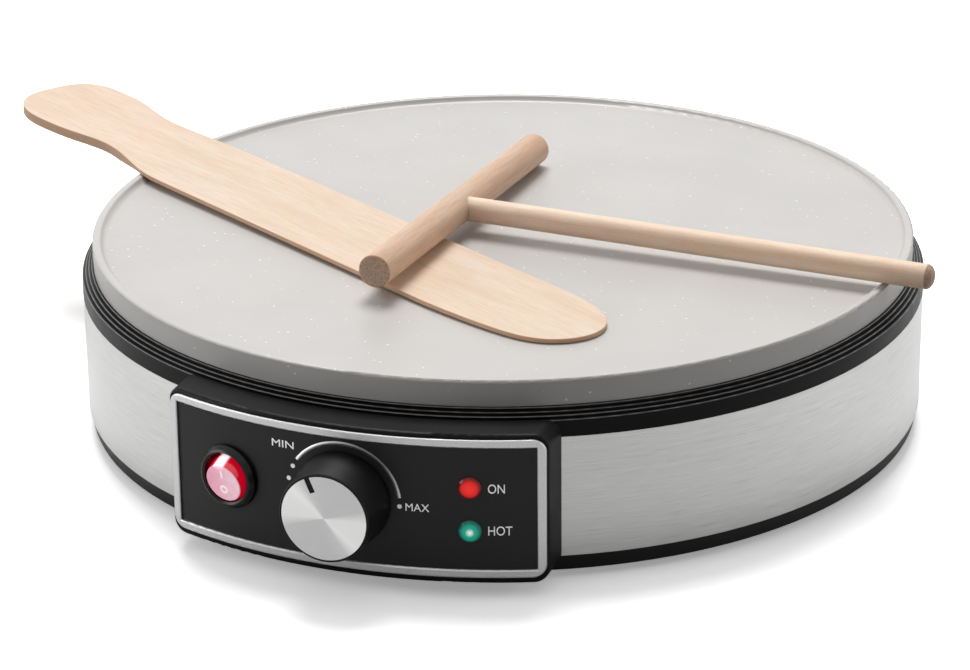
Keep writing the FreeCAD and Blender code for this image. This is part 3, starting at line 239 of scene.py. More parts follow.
def stepped_ring():
    material = moulded("spark_grained_abs", "#0d0d0d", 0.36, shine=0.1)
    tree = material.node_tree
    surface = next(node for node in tree.nodes if node.type == "BSDF_PRINCIPLED")
    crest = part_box("top_ring")[1][2] * 1000
    parts = object_parts(tree)
    flat = add(tree, "ShaderNodeCombineXYZ", {0: parts["X"], 1: parts["Y"]}).outputs[0]
    reach = vector_node(tree, "LENGTH", flat)
    inward = math_node(tree, "SUBTRACT", RING_RADIUS_MM, math_node(tree, "MULTIPLY", reach, 1000))
    upward = math_node(tree, "SUBTRACT", math_node(tree, "MULTIPLY", parts["Z"], 1000),
                       crest - RING_STEPS * RING_STEP_MM)
    apart = math_node(tree, "ABSOLUTE", math_node(tree, "SUBTRACT", inward, upward))
    # painted highlight: a paler line on each step's rounded edge, where it would catch the light
    edge = spread(tree, apart, *HIGHLIGHT_LINE_FADE_MM, 1.0, 0.0)
    plain = surface.inputs["Base Color"].links[0].from_socket
    tree.links.new(blend(tree, edge, plain, hex_colour("#868686")), surface.inputs["Base Color"])
    return material


dress(stepped_ring(), "top_ring")

# %% [markdown]
# ## Brushed steel
#
# The band is a strip of stainless steel that was brushed along its length before it was
# rolled. The scratches run round the body, so a highlight is stretched up and down. The
# pattern needs coordinates that follow the roll: the angle round the axis and the height.
# Each scratch is about 0.1 mm wide on the real strip and is drawn at 0.3 mm, and it is
# some 14 mm long. The shader stretches a highlight along its tangent, which runs round the
# body, so the stretch is turned by a quarter.

# %% Steel brushed round the body
BAND_RADIUS = 0.1541


def roll_place(tree, along_mm, across_mm):
    """Coordinates that follow the band: x runs round it and z up it, each in features."""
    parts = object_parts(tree)
    angle = math_node(tree, "ARCTAN2", parts["Y"], parts["X"])
    round_it = math_node(tree, "MULTIPLY", angle, BAND_RADIUS * 1000 / along_mm)
    up_it = math_node(tree, "MULTIPLY", parts["Z"], 1000 / across_mm)
    return add(tree, "ShaderNodeCombineXYZ", {0: round_it, 2: up_it}).outputs[0]


def brushed_band():
    material, tree, surface = new_material("brushed_stainless_strip", Metallic=1.0,
                                           Anisotropic=0.6, Anisotropic_Rotation=0.25)
    scratches = noise(tree, roll_place(tree, 14.0, 0.3), 1.0, 3.0, 0.6)
    streaks = noise(tree, roll_place(tree, 90.0, 1.6), 1.0, 2.0)
    both = math_node(tree, "ADD", math_node(tree, "MULTIPLY", scratches, 0.8),
                     math_node(tree, "MULTIPLY", streaks, 0.2))
    tree.links.new(blend(tree, spread(tree, both, 0.35, 0.65), hex_colour("#bdbdbc"),
                         hex_colour("#cfcfce")), surface.inputs["Base Color"])
    tree.links.new(spread(tree, both, 0.3, 0.7, 0.26, 0.36), surface.inputs["Roughness"])
    bump(tree, surface, scratches, 0.004)
    return material


dress(brushed_band(), "steel_band")

# %% [markdown]
# ## The hotplate's coating
#
# The plate is die-cast aluminium with a baked ceramic-filled coating. It is pale and satin,
# a little warm, and dotted with white flecks like granite. Each fleck is a cell of a Voronoi
# pattern: a cell is 3.6 mm wide, and only cells with a high random value get a fleck, whose
# radius also varies, so the flecks don't sit on a grid.

# %% Flecked coating
CELL_MM, EMPTY_CELLS, FLECK_RADII, FLECK_DEPTH = 3.6, 0.5, (0.06, 0.13), 0.75


def coated_plate():
    material, tree, surface = new_material("flecked_ceramic_coating", Coat_Weight=0.15,
                                           Coat_Roughness=0.25)
    place = place_of(tree)
    ground = blend(tree, spread(tree, noise(tree, place, per_mm(45.0), 4.0), 0.35, 0.65),
                   hex_colour("#c4c1be"), hex_colour("#c9c6c2"))
    flecks = add(tree, "ShaderNodeTexVoronoi", {"Vector": place, "Scale": per_mm(CELL_MM)})
    chance = add(tree, "ShaderNodeSeparateColor", {0: flecks.outputs["Color"]})
    chosen = math_node(tree, "GREATER_THAN", chance.outputs[0], EMPTY_CELLS)
    radius = spread(tree, chance.outputs[1], 0.0, 1.0, *FLECK_RADII)
    inside = math_node(tree, "LESS_THAN", flecks.outputs["Distance"], radius)
    fleck = math_node(tree, "MULTIPLY", math_node(tree, "MULTIPLY", inside, chosen),
                      FLECK_DEPTH)
    tree.links.new(blend(tree, fleck, ground, hex_colour("#fbfaf8")),
                   surface.inputs["Base Color"])
    fine = noise(tree, place, per_mm(0.7), 3.0, 0.6)
    tree.links.new(spread(tree, fine, 0.3, 0.7, 0.34, 0.46), surface.inputs["Roughness"])
    bump(tree, surface, fine, 0.02)
    return material


dress(coated_plate(), "hotplate")

# %% [markdown]
# ## Beech
#
# The tools are plain sanded beech, a pale pinkish wood with a very fine straight grain. Its
# short dark rays are a millimetre or two long. The grain is a noise stretched along the
# piece, so the coordinates are first turned to run with each piece. A little light travels
# under the surface, redder the deeper it goes, and warms the shaded sides. The upright sides
# of the spatula are painted browner than its faces, as painted shade. The sawn ends of the
# round rods are darker and speckled, because there the open ends of the fibres drink light.

# %% Beech along a piece
PAINTED_SIDE_SHADE, RAY_COLOUR = "#c8a486", "#b8896a"
RAY_SIZE, RAY_DEPTH = 0.14, 0.3


def beech(name, middle, yaw, pale, warm, half_length=None):
    """Beech that runs along one piece. A half length is given for a rod with sawn ends."""
    material, tree, surface = new_material(name, Specular_IOR_Level=0.5, Subsurface_Weight=0.4,
                                           Subsurface_Radius=(1.0, 0.45, 0.28),
                                           Subsurface_Scale=0.004)
    turn = (0.0, 0.0, -math.radians(yaw))
    place = place_of(tree, turn, middle)
    grain_place = vector_node(tree, "MULTIPLY", place, (0.07, 1.0, 1.0))
    grain = noise(tree, grain_place, per_mm(0.9), 3.0, 0.55)
    rings_place = vector_node(tree, "MULTIPLY", place, (0.12, 1.0, 1.0))
    rings = noise(tree, rings_place, per_mm(9.0), 3.0, 0.6)
    rays_place = vector_node(tree, "MULTIPLY", place, (0.3, 1.0, 1.0))
    rays = add(tree, "ShaderNodeTexVoronoi", {"Vector": rays_place, "Scale": per_mm(0.9)})
    colour = blend(tree, spread(tree, rings, 0.36, 0.7, 0.0, 0.65), hex_colour(pale),
                   hex_colour(warm))
    colour = blend(tree, spread(tree, grain, 0.42, 0.72, 0.0, 0.6), colour, hex_colour(warm))
    on_ray = math_node(tree, "LESS_THAN", rays.outputs["Distance"], RAY_SIZE)
    colour = blend(tree, math_node(tree, "MULTIPLY", on_ray, RAY_DEPTH), colour,
                   hex_colour(RAY_COLOUR))
    if half_length:
        colour = end_grain(tree, place, colour, half_length)
    else:
        # painted shade: the more upright a face stands, the browner it is drawn
        facing = add(tree, "ShaderNodeTexCoord").outputs["Normal"]
        upright = add(tree, "ShaderNodeSeparateXYZ", {0: facing}).outputs["Z"]
        level = math_node(tree, "ABSOLUTE", upright)
        colour = blend(tree, spread(tree, level, 0.5, 0.95), hex_colour(PAINTED_SIDE_SHADE), colour)
    tree.links.new(colour, surface.inputs["Base Color"])
    tree.links.new(spread(tree, grain, 0.3, 0.7, 0.5, 0.62), surface.inputs["Roughness"])
    bump(tree, surface, grain, 0.03, 0.6)
    return material


def end_grain(tree, place, colour, half_length):
    """Darkens and speckles the sawn ends of a rod that is centred on its coordinates."""
    along = add(tree, "ShaderNodeSeparateXYZ", {0: place}).outputs["X"]
    from_middle = math_node(tree, "ABSOLUTE", along)
    at_end = math_node(tree, "GREATER_THAN", from_middle, half_length - 0.0004)
    speckles = spread(tree, noise(tree, place, per_mm(0.8), 3.0, 0.7), 0.35, 0.65)
    sawn = blend(tree, speckles, hex_colour("#9c806b"), hex_colour("#c9ab94"))
    return blend(tree, at_end, colour, sawn)


dress(beech("beech_spatula", (-0.0815, -0.0085, 0.0728), -31.3, "#e9d4c1", "#dcbb9d"), "spatula")
dress(beech("beech_bar", (-0.0149, -0.0064, 0.0782), 86.94, "#dabda4", "#c69c7c", 0.07665),
      "spreader_bar")
dress(beech("beech_handle", (0.0752, -0.0123, 0.0771), -3.77, "#f4dec9", "#e5c4a6", 0.0880),
      "spreader_handle")

# %% [markdown]
# ## Metal trim
#
# The frame round the panel is plastic with a silver metallic paint, so it is satin and even.
# The knob's cap is a thin aluminium disc that was spun while a tool cut fine circles into
# it. Light spreads across those circles, and that gives the disc its bright and dark fans.
# The shader needs to know which way the circles run, so the direction is worked out from
# the place on the disc. The studio here is too even to show strong fans, so two opposite
# sectors of the disc are also drawn paler, where the photo has its bright ones.

# %% Silver paint and spun aluminium
KNOB_AXIS = Vector((0.0, 0.0, 0.03285))
FAN_ANGLE = 160.0


def silver_paint():
    material, tree, surface = new_material("silver_metallic_paint", Metallic=0.85)
    place = place_of(tree)
    flakes = noise(tree, place, per_mm(0.25), 2.0)
    tree.links.new(blend(tree, spread(tree, flakes, 0.35, 0.65), hex_colour("#c9c9ca"),
                         hex_colour("#dadadb")), surface.inputs["Base Color"])
    tree.links.new(spread(tree, flakes, 0.3, 0.7, 0.36, 0.46), surface.inputs["Roughness"])
    bump(tree, surface, flakes, 0.004)
    return material


def painted_highlight_fans(tree, parts):
    """Painted highlight: 1 in two opposite sectors of the disc, 0 between them, with soft
    borders.
    """
    angle = math_node(tree, "ARCTAN2", parts["Z"], parts["X"])
    doubled = math_node(tree, "MULTIPLY", angle, 2.0)
    wave = math_node(tree, "COSINE", math_node(tree, "SUBTRACT", doubled,
                                               2.0 * math.radians(FAN_ANGLE)))
    return spread(tree, wave, 0.25, 0.75)


def spun_cap():
    material, tree, surface = new_material("spun_aluminium", Metallic=1.0, Anisotropic=0.85,
                                           Anisotropic_Rotation=0.25)
    parts = object_parts(tree, KNOB_AXIS)
    away = add(tree, "ShaderNodeCombineXYZ", {0: parts["X"], 2: parts["Z"]}).outputs[0]
    radius = add(tree, "ShaderNodeCombineXYZ", {0: vector_node(tree, "LENGTH", away)}).outputs[0]
    circles = noise(tree, radius, per_mm(0.25), 2.0)
    plain = blend(tree, circles, hex_colour("#c9c9ca"), hex_colour("#d6d6d7"))
    bright = blend(tree, circles, hex_colour("#ececeb"), hex_colour("#f7f7f6"))
    # painted highlight: two sectors are drawn paler where bright fans of light would be
    tree.links.new(blend(tree, painted_highlight_fans(tree, parts), plain, bright),
                   surface.inputs["Base Color"])
    tree.links.new(spread(tree, circles, 0.3, 0.7, 0.27, 0.34), surface.inputs["Roughness"])
    sideways = math_node(tree, "MULTIPLY", parts["Z"], -1.0)
    circle_way = add(tree, "ShaderNodeCombineXYZ", {0: sideways, 2: parts["X"]}).outputs[0]
    world_way = add(tree, "ShaderNodeVectorTransform", {0: circle_way},
                    vector_type="VECTOR", convert_from="OBJECT", convert_to="WORLD")
    tree.links.new(world_way.outputs[0], surface.inputs["Tangent"])
    return material


dress(silver_paint(), "trim_frame")
dress(spun_cap(), "knob_cap")

# %% [markdown]
# ## The lamps
#
# The two lamp lenses are small domes of clear coloured plastic. The red one is brightest round
# its middle, and the green one has a pale hot spot where the lamp stands close behind it. Both
# darken towards the rim. Each glow depends on the place on the lens, measured from its own
# axis, and not on the view. A control's place on the curved panel is an angle and a height.

# %% Lit lenses
PANEL_RADIUS = 0.1663
LAMP_ANGLE = 14.95
RED_HEIGHT, GREEN_HEIGHT = 0.0403, 0.0246
LENS_RIM_MM = (2.6, 3.9)


def control_place(angle, height):
    """Where a control stands on the panel, and the direction in which it faces."""
    out = Vector((math.sin(math.radians(angle)), -math.cos(math.radians(angle)), 0.0))
    return out * PANEL_RADIUS + Vector((0, 0, height)), out


def from_axis(tree, centre, out):
    """The distance of each point from a control's axis, in millimetres."""
    across = vector_node(tree, "CROSS_PRODUCT", place_of(tree, shift=centre), out)
    return math_node(tree, "MULTIPLY", vector_node(tree, "LENGTH", across), 1000.0)


def lamp_lens(name, height, rim, body, spot, spot_mm):
    material, tree, surface = new_material(name, Roughness=0.15, IOR=1.5, Specular_IOR_Level=0.3,
                                           Emission_Strength=0.85, Base_Color=hex_colour(rim))
    centre, out = control_place(LAMP_ANGLE, height)
    ripple = math_node(tree, "MULTIPLY", noise(tree, place_of(tree), per_mm(0.8)), 0.6)
    distance = math_node(tree, "ADD", from_axis(tree, centre, out), ripple)
    middle = blend(tree, spread(tree, distance, 0.3, spot_mm), hex_colour(spot), hex_colour(body))
    colour = blend(tree, spread(tree, distance, *LENS_RIM_MM), middle, hex_colour(rim))
    tree.links.new(colour, surface.inputs["Emission Color"])
    tree.links.new(spread(tree, distance, 0.0, 4.0, 0.12, 0.2), surface.inputs["Roughness"])
    return material


dress(lamp_lens("red_lens", RED_HEIGHT, "#4a0605", "#e0201d", "#f42f28", 2.4), "power_lamp")
dress(lamp_lens("green_lens", GREEN_HEIGHT, "#07483b", "#159a80", "#f2fffa", 1.9), "ready_lamp")

# %% [markdown]
# ## The lit rocker
#
# The rocker is clear red plastic with a small neon lamp behind it. Its thin flat face lets
# most of the light out and looks pink. Its thick edges look deep red. A pale spot at the top
# of the flank is a painted reflection of a lamp, drawn into the colour and given the full
# glow. The photo shows it with its foot pressed in, so its face is tilted by 12 degrees. The
# face is found by how far a point stands out from the pivot, and the spot by how high and how
# far to the side it is.

# %% Lit rocker
SWITCH_ANGLE = -14.9
ROCKER_TILT = 12.0
ROCKER_PIVOT = 0.0035
ROCKER_HEIGHT = 0.0074
FLANK_GLOW, PAINTED_SPOT_GLOW = 0.45, 0.9
PAINTED_SPOT_FROM, PAINTED_SPOT_FULL = 0.0054, 0.0062
PAINTED_SPOT_SIDE, PAINTED_SPOT_HALF, PAINTED_SPOT_EDGE = 0.001, 0.0016, 0.0026


def rocker_frame():
    """The rocker's pivot, the way its face looks, and the face's two own directions."""
    place, out = control_place(SWITCH_ANGLE, KNOB_AXIS.z)
    tilt = math.radians(ROCKER_TILT)
    facing = out * math.cos(tilt) - Vector((0, 0, math.sin(tilt)))
    side = Vector((0, 0, 1)).cross(-out).normalized() * -1.0
    return place - out * ROCKER_PIVOT, facing, side, facing.cross(side)


def painted_reflection_spot(tree, across, above):
    """Painted reflection: 1 at a spot on the top of the flank, 0 elsewhere."""
    beside = math_node(tree, "ABSOLUTE", math_node(tree, "ADD", across, PAINTED_SPOT_SIDE))
    return math_node(tree, "MULTIPLY", spread(tree, above, PAINTED_SPOT_FROM, PAINTED_SPOT_FULL),
                     spread(tree, beside, PAINTED_SPOT_HALF, PAINTED_SPOT_EDGE, 1.0, 0.0))


def lit_rocker():
    material, tree, surface = new_material("lit_red_polycarbonate", Roughness=0.1, IOR=1.58,
                                           Coat_Weight=0.5, Emission_Strength=PAINTED_SPOT_GLOW)
    pivot, facing, side, up = rocker_frame()
    place = place_of(tree, shift=pivot)
    across = vector_node(tree, "DOT_PRODUCT", place, side)
    painted_spot = painted_reflection_spot(tree, across, vector_node(tree, "DOT_PRODUCT", place, up))
    face = spread(tree, vector_node(tree, "DOT_PRODUCT", place, facing),
                  ROCKER_HEIGHT - 0.0005, ROCKER_HEIGHT - 0.0001)
    cloudy = noise(tree, place_of(tree), per_mm(2.5))
    paler = math_node(tree, "ADD", math_node(tree, "MULTIPLY", across, 100.0), cloudy)
    pink = blend(tree, spread(tree, paler, -0.3, 1.2), hex_colour("#ec94b1"),
                 hex_colour("#fbd0de"))
    # painted reflection: the spot on the flank is drawn near white
    flank = blend(tree, painted_spot, hex_colour("#f0052e"), hex_colour("#fff4f6"))
    colour = blend(tree, face, flank, pink)
    # the painted reflection spot glows at full strength, the rest of the rocker at the flank's
    glow = spread(tree, painted_spot, 0.0, 1.0, FLANK_GLOW / PAINTED_SPOT_GLOW, 1.0)
    tree.links.new(colour, surface.inputs["Base Color"])
    tree.links.new(blend(tree, 1.0, colour, grey(tree, glow), "MULTIPLY"),
                   surface.inputs["Emission Color"])
    return material


dress(lit_rocker(), "rocker")
print("rocker face normal:", [round(v, 3) for v in rocker_frame()[1]])

# %% [markdown]
# ## The dial's line and dots
#
# On the real panel the heat scale is screen-printed: a line that bends over the knob, two dots
# before its low end and one after its high end. It follows a rule, so a tree of geometry
# nodes makes it. The tree draws the line and the dots flat, with the knob's axis as the
# origin, and then wraps every point round the panel's cylinder. Its sizes are inputs, so
# another dial needs only other numbers. The result is turned into a plain mesh.

# %% The dial's line and dots
PRINT_DEPTH = 0.0001
DIAL_RADIUS = 0.0199


def dial_tree(ink):
    """Geometry nodes: an arc and its dots, wrapped round a cylinder that stands on Z."""
    tree = bpy.data.node_groups.new("dial_print", "GeometryNodeTree")
    sizes = {"Panel radius": PANEL_RADIUS, "Knob height": KNOB_AXIS.z, "Arc radius": DIAL_RADIUS,
             "Arc start": math.radians(6.9), "Arc sweep": math.radians(137.4),
             "Line width": 0.0013, "Print depth": PRINT_DEPTH, "Dot diameter": 0.0016,
             "Dot gap": math.radians(8.7), "Dot step": math.radians(14.3)}
    for name in sizes:
        tree.interface.new_socket(name, in_out="INPUT", socket_type="NodeSocketFloat")
    tree.interface.new_socket("Geometry", in_out="OUTPUT", socket_type="NodeSocketGeometry")
    size = add(tree, "NodeGroupInput").outputs

    def calc(operation, first, second):
        return math_node(tree, operation, first, second)

    arc = add(tree, "GeometryNodeCurveArc", {"Resolution": 96, "Radius": size["Arc radius"],
                                             "Start Angle": size["Arc start"],
                                             "Sweep Angle": size["Arc sweep"]})
    section = add(tree, "GeometryNodeCurvePrimitiveQuadrilateral",
                  {"Width": size["Line width"], "Height": size["Print depth"]})
    line = add(tree, "GeometryNodeCurveToMesh", {"Curve": arc.outputs["Curve"],
                                                 "Profile Curve": section.outputs["Curve"],
                                                 "Fill Caps": True})
    arc_end = calc("ADD", size["Arc start"], size["Arc sweep"])
    low_dot = calc("ADD", arc_end, size["Dot gap"])
    high_dot = calc("SUBTRACT", size["Arc start"], size["Dot gap"])
    join = add(tree, "GeometryNodeJoinGeometry", {0: line.outputs["Mesh"]})
    for first, count in ((low_dot, 2), (high_dot, 1)):
        index = add(tree, "GeometryNodeInputIndex").outputs[0]
        angle = calc("ADD", first, calc("MULTIPLY", index, size["Dot step"]))
        spot = add(tree, "ShaderNodeCombineXYZ", {
            0: calc("MULTIPLY", math_node(tree, "COSINE", angle), size["Arc radius"]),
            1: calc("MULTIPLY", math_node(tree, "SINE", angle), size["Arc radius"])})
        points = add(tree, "GeometryNodePoints", {"Count": count, "Position": spot.outputs[0]})
        disc = add(tree, "GeometryNodeMeshCylinder", {
            "Vertices": 32, "Radius": calc("MULTIPLY", size["Dot diameter"], 0.5),
            "Depth": size["Print depth"]}, fill_type="NGON")
        dots = add(tree, "GeometryNodeInstanceOnPoints", {"Points": points.outputs[0],
                                                          "Instance": disc.outputs["Mesh"]})
        tree.links.new(dots.outputs[0], join.inputs[0])
    flat = add(tree, "GeometryNodeRealizeInstances", {0: join.outputs[0]})
    parts = add(tree, "ShaderNodeSeparateXYZ",
                {0: add(tree, "GeometryNodeInputPosition").outputs[0]}).outputs
    reach = calc("ADD", size["Panel radius"], parts["Z"])
    bend = calc("DIVIDE", parts["X"], size["Panel radius"])
    wrapped = add(tree, "ShaderNodeCombineXYZ", {
        0: calc("MULTIPLY", reach, math_node(tree, "SINE", bend)),
        1: calc("MULTIPLY", calc("MULTIPLY", reach, math_node(tree, "COSINE", bend)), -1.0),
        2: calc("ADD", parts["Y"], size["Knob height"])})
    placed = add(tree, "GeometryNodeSetPosition", {"Geometry": flat.outputs[0],
                                                   "Position": wrapped.outputs[0]})
    inked = add(tree, "GeometryNodeSetMaterial", {"Geometry": placed.outputs[0],
                                                  "Material": ink})
    output = add(tree, "NodeGroupOutput")
    tree.links.new(inked.outputs[0], output.inputs[0])
    return tree, sizes


def plain_mesh(name, tree, sizes):
    """Runs a tree on an empty object and keeps the result as a mesh of its own."""
    carrier = bpy.data.objects.new(name + "_carrier", bpy.data.meshes.new(name + "_carrier"))
    bpy.context.scene.collection.objects.link(carrier)
    modifier = carrier.modifiers.new("nodes", "NODES")
    modifier.node_group = tree
    for item in tree.interface.items_tree:
        if item.in_out == "INPUT":
            modifier[item.identifier] = sizes[item.name]
    ready = carrier.evaluated_get(bpy.context.evaluated_depsgraph_get())
    mesh = bpy.data.meshes.new_from_object(ready)
    mesh.name = name
    bpy.data.objects.remove(carrier)
    return mesh


def finish_piece(name, mesh, body):
    """Merges a mesh's loose edges, turns its faces outward and makes it a piece of a body."""
    shape = bmesh.new()
    shape.from_mesh(mesh)
    bmesh.ops.remove_doubles(shape, verts=shape.verts, dist=1e-7)
    bmesh.ops.recalc_face_normals(shape, faces=shape.faces)
    shape.to_mesh(mesh)
    open_edges = sum(not edge.is_manifold for edge in shape.edges)
    shape.free()
    piece = bpy.data.objects.new(name, mesh)
    bpy.context.scene.collection.objects.link(piece)
    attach(piece, body)
    print(name, "faces:", len(mesh.polygons), "open edges:", open_edges)
    return piece


# %% [markdown]
# ## The ink
#
# The print stays bright on a front that gets little light, so it is a silver ink: fine metal
# flakes in lacquer, which mirror the pale room softly and unevenly where the screen's threads
# stood. The line's colour also changes along it, as a painted reflection: it is nearly white at
# its low end, darkest past the top and pale again at its high end, so the colour depends on
# the angle round the knob.

# %% Silver ink
def screen_ink(name, stops):
    """Ink whose colour follows the angle round the knob: stops are (degrees, hex colour)."""
    material, tree, surface = new_material(name, Metallic=0.85)
    parts = object_parts(tree, KNOB_AXIS)
    angle = math_node(tree, "DEGREES", math_node(tree, "ARCTAN2", parts["Z"], parts["X"]))
    low, high = stops[0][0], stops[-1][0]
    ramp = add(tree, "ShaderNodeValToRGB", {0: spread(tree, angle, low, high)})
    while len(ramp.color_ramp.elements) < len(stops):
        ramp.color_ramp.elements.new(0.5)
    for element, (degrees, code) in zip(ramp.color_ramp.elements, stops):
        element.position = (degrees - low) / (high - low)
        element.color = hex_colour(code)
    threads = noise(tree, place_of(tree), per_mm(0.3), 2.0)
    mottle = grey(tree, spread(tree, threads, 0.3, 0.7, 0.88, 1.0))
    tree.links.new(blend(tree, 1.0, ramp.outputs[0], mottle, "MULTIPLY"),
                   surface.inputs["Base Color"])
    tree.links.new(spread(tree, threads, 0.3, 0.7, 0.44, 0.56), surface.inputs["Roughness"])
    bump(tree, surface, threads, 0.004)
    return material


# painted reflection along the dial's line: pale at its low end, darkest past the top, pale again
dial_ink = screen_ink("silver_ink_painted_reflection", ((0.0, "#f2f2f2"), (12.0, "#cccccc"), (45.0, "#6c6c6c"),
                                           (70.0, "#848484"), (95.0, "#bebebe"),
                                           (120.0, "#dedede"), (170.0, "#f4f4f4")))
word_ink = screen_ink("silver_screen_ink", ((-180.0, "#f4f4f4"), (180.0, "#fafafa")))
tree, sizes = dial_tree(dial_ink)
finish_piece("dial_line_and_dots", plain_mesh("dial_line_and_dots", tree, sizes), "maker")

# %% [markdown]
# ## Plain words
#
# The real panel has a word at each end of the line and one beside each lamp. Words of the real
# maker aren't copied, so plain ones of the same height stand in their places: MIN and MAX at
# the dial, ON at the red lamp and HOT at the green one. Each word is a text curve, turned
# into a mesh while it is flat, scaled to the measured height of its capitals, and wrapped
# round the panel by the same rule as the dial.

# %% Words round the panel
# each word with its left side, base line, height and width in mm on the unrolled panel
WORDS = (("MIN", -25.5, 47.9, 2.6, 8.3), ("MAX", 21.9, 30.9, 2.7, 8.0),
         ("ON", 49.4, 38.25, 3.3, 5.6), ("HOT", 49.4, 23.05, 3.3, 8.0))


def flat_word(word, left, base, height, width):
    """A word as a flat mesh in millimetres on the unrolled panel."""
    curve = bpy.data.curves.new(word, "FONT")
    curve.body = word
    curve.extrude = 0.05
    curve.resolution_u = 4
    carrier = bpy.data.objects.new(word, curve)
    bpy.context.scene.collection.objects.link(carrier)
    ready = carrier.evaluated_get(bpy.context.evaluated_depsgraph_get())
    mesh = bpy.data.meshes.new_from_object(ready)
    bpy.data.objects.remove(carrier)
    corners = [vertex.co.copy() for vertex in mesh.vertices]
    low = [min(c[i] for c in corners) for i in range(3)]
    high = [max(c[i] for c in corners) for i in range(3)]
    for vertex in mesh.vertices:
        x = left + (vertex.co.x - low[0]) / (high[0] - low[0]) * width
        y = base + (vertex.co.y - low[1]) / (high[1] - low[1]) * height
        z = (vertex.co.z - low[2]) / (high[2] - low[2]) * PRINT_DEPTH * 1000
        vertex.co = (x, y, z - PRINT_DEPTH * 500)
    return mesh


def wrap(mesh):
    """Bends a flat mesh in millimetres round the panel, into place and into metres."""
    for vertex in mesh.vertices:
        bend = vertex.co.x / 1000 / PANEL_RADIUS
        reach = PANEL_RADIUS + vertex.co.z / 1000
        vertex.co = (reach * math.sin(bend), -reach * math.cos(bend), vertex.co.y / 1000)


def panel_words():
    shape = bmesh.new()
    for word in WORDS:
        mesh = flat_word(*word)
        wrap(mesh)
        shape.from_mesh(mesh)
    mesh = bpy.data.meshes.new("panel_words")
    shape.to_mesh(mesh)
    shape.free()
    mesh.materials.clear()
    mesh.materials.append(word_ink)
    return finish_piece("panel_words", mesh, "maker")


panel_words()

# %% [markdown]
# ## The marks on the rocker
#
# A line stands for on and a ring for off, as on most mains switches. They are printed on the
# rocker's face and move with it, so they ride on the switch's body. Both are made as flat
# outlines with some depth: the ring as a band of quads, and the line as a bar with round ends.
# Their white enamel lets some of the neon's light through, as thin paint does, so it glows.

# %% Line and ring on the rocker
RING_OUTER, RING_INNER, RING_DOWN = 1.6, 0.85, -2.4
BAR_LONG, BAR_WIDE, BAR_UP = 3.0, 0.75, 3.5
ENAMEL_LOW, ENAMEL_HIGH = -0.03, 0.05
RING_SIDES = 40


def outline_prism(shape, rim, place):
    """A solid between two copies of a closed outline, the second one raised."""
    low = [shape.verts.new(place(x, y, ENAMEL_LOW)) for x, y in rim]
    high = [shape.verts.new(place(x, y, ENAMEL_HIGH)) for x, y in rim]
    count = len(rim)
    for i in range(count):
        j = (i + 1) % count
        shape.faces.new((low[i], low[j], high[j], high[i]))
    return low, high


def thin_enamel():
    material, tree, surface = new_material("thin_white_enamel", Specular_IOR_Level=0.3,
                                           Emission_Strength=0.5)
    brushed = noise(tree, place_of(tree), per_mm(0.5), 2.0)
    colour = blend(tree, brushed, hex_colour("#ffe2ec"), hex_colour("#fffafc"))
    tree.links.new(colour, surface.inputs["Base Color"])
    tree.links.new(colour, surface.inputs["Emission Color"])
    tree.links.new(spread(tree, brushed, 0.3, 0.7, 0.35, 0.5), surface.inputs["Roughness"])
    return material


def rocker_marks():
    pivot, facing, side, up = rocker_frame()
    centre = pivot + facing * ROCKER_HEIGHT

    def place(x, y, z):
        return centre + (side * x + up * y + facing * z) / 1000

    shape = bmesh.new()
    turns = [2 * math.pi * i / RING_SIDES for i in range(RING_SIDES)]
    outer, inner = (outline_prism(shape, [(r * math.cos(t), RING_DOWN + r * math.sin(t))
                                          for t in turns], place)
                    for r in (RING_OUTER, RING_INNER))
    for i in range(RING_SIDES):
        j = (i + 1) % RING_SIDES
        for level in (0, 1):
            shape.faces.new((outer[level][i], outer[level][j], inner[level][j], inner[level][i]))
    half, straight = BAR_WIDE / 2, (BAR_LONG - BAR_WIDE) / 2
    rim = [(half * math.cos(t), BAR_UP + half * math.sin(t) + (straight if i < 13 else -straight))
           for i, t in enumerate(math.pi * k / 12 for k in list(range(13)) + list(range(12, 25)))]
    for level in outline_prism(shape, rim, place):
        shape.faces.new(level)
    mesh = bpy.data.meshes.new("rocker_marks")
    shape.to_mesh(mesh)
    shape.free()
    mesh.materials.append(thin_enamel())
    return finish_piece("rocker_marks", mesh, "switch_rocker")


rocker_marks()

# %% [markdown]
# ## Metal, copper and ceramic inside
#
# These pieces are hidden while the maker is whole, but they are seen when someone opens it or
# looks through the vents in its base. Zinc-plated steel is dull and slightly mottled, brass and
# copper are warm, and the heater's sheath has darkened in use. The thermostat's steatite is a
# matt, cream-coloured ceramic. One recipe covers them all with different numbers.

# %% Hidden finishes
def inner_finish(name, first, second, metallic, roughness, patch_mm, grain_mm=0.4):
    material, tree, surface = new_material(name, Metallic=metallic)
    place = place_of(tree)
    patches = noise(tree, place, per_mm(patch_mm), 4.0, 0.6)
    tree.links.new(blend(tree, spread(tree, patches, 0.35, 0.65), hex_colour(first),
                         hex_colour(second)), surface.inputs["Base Color"])
    tree.links.new(spread(tree, patches, 0.3, 0.7, roughness - 0.06, roughness + 0.08),
                   surface.inputs["Roughness"])
    bump(tree, surface, noise(tree, place, per_mm(grain_mm), 2.0), 0.015)
    return material


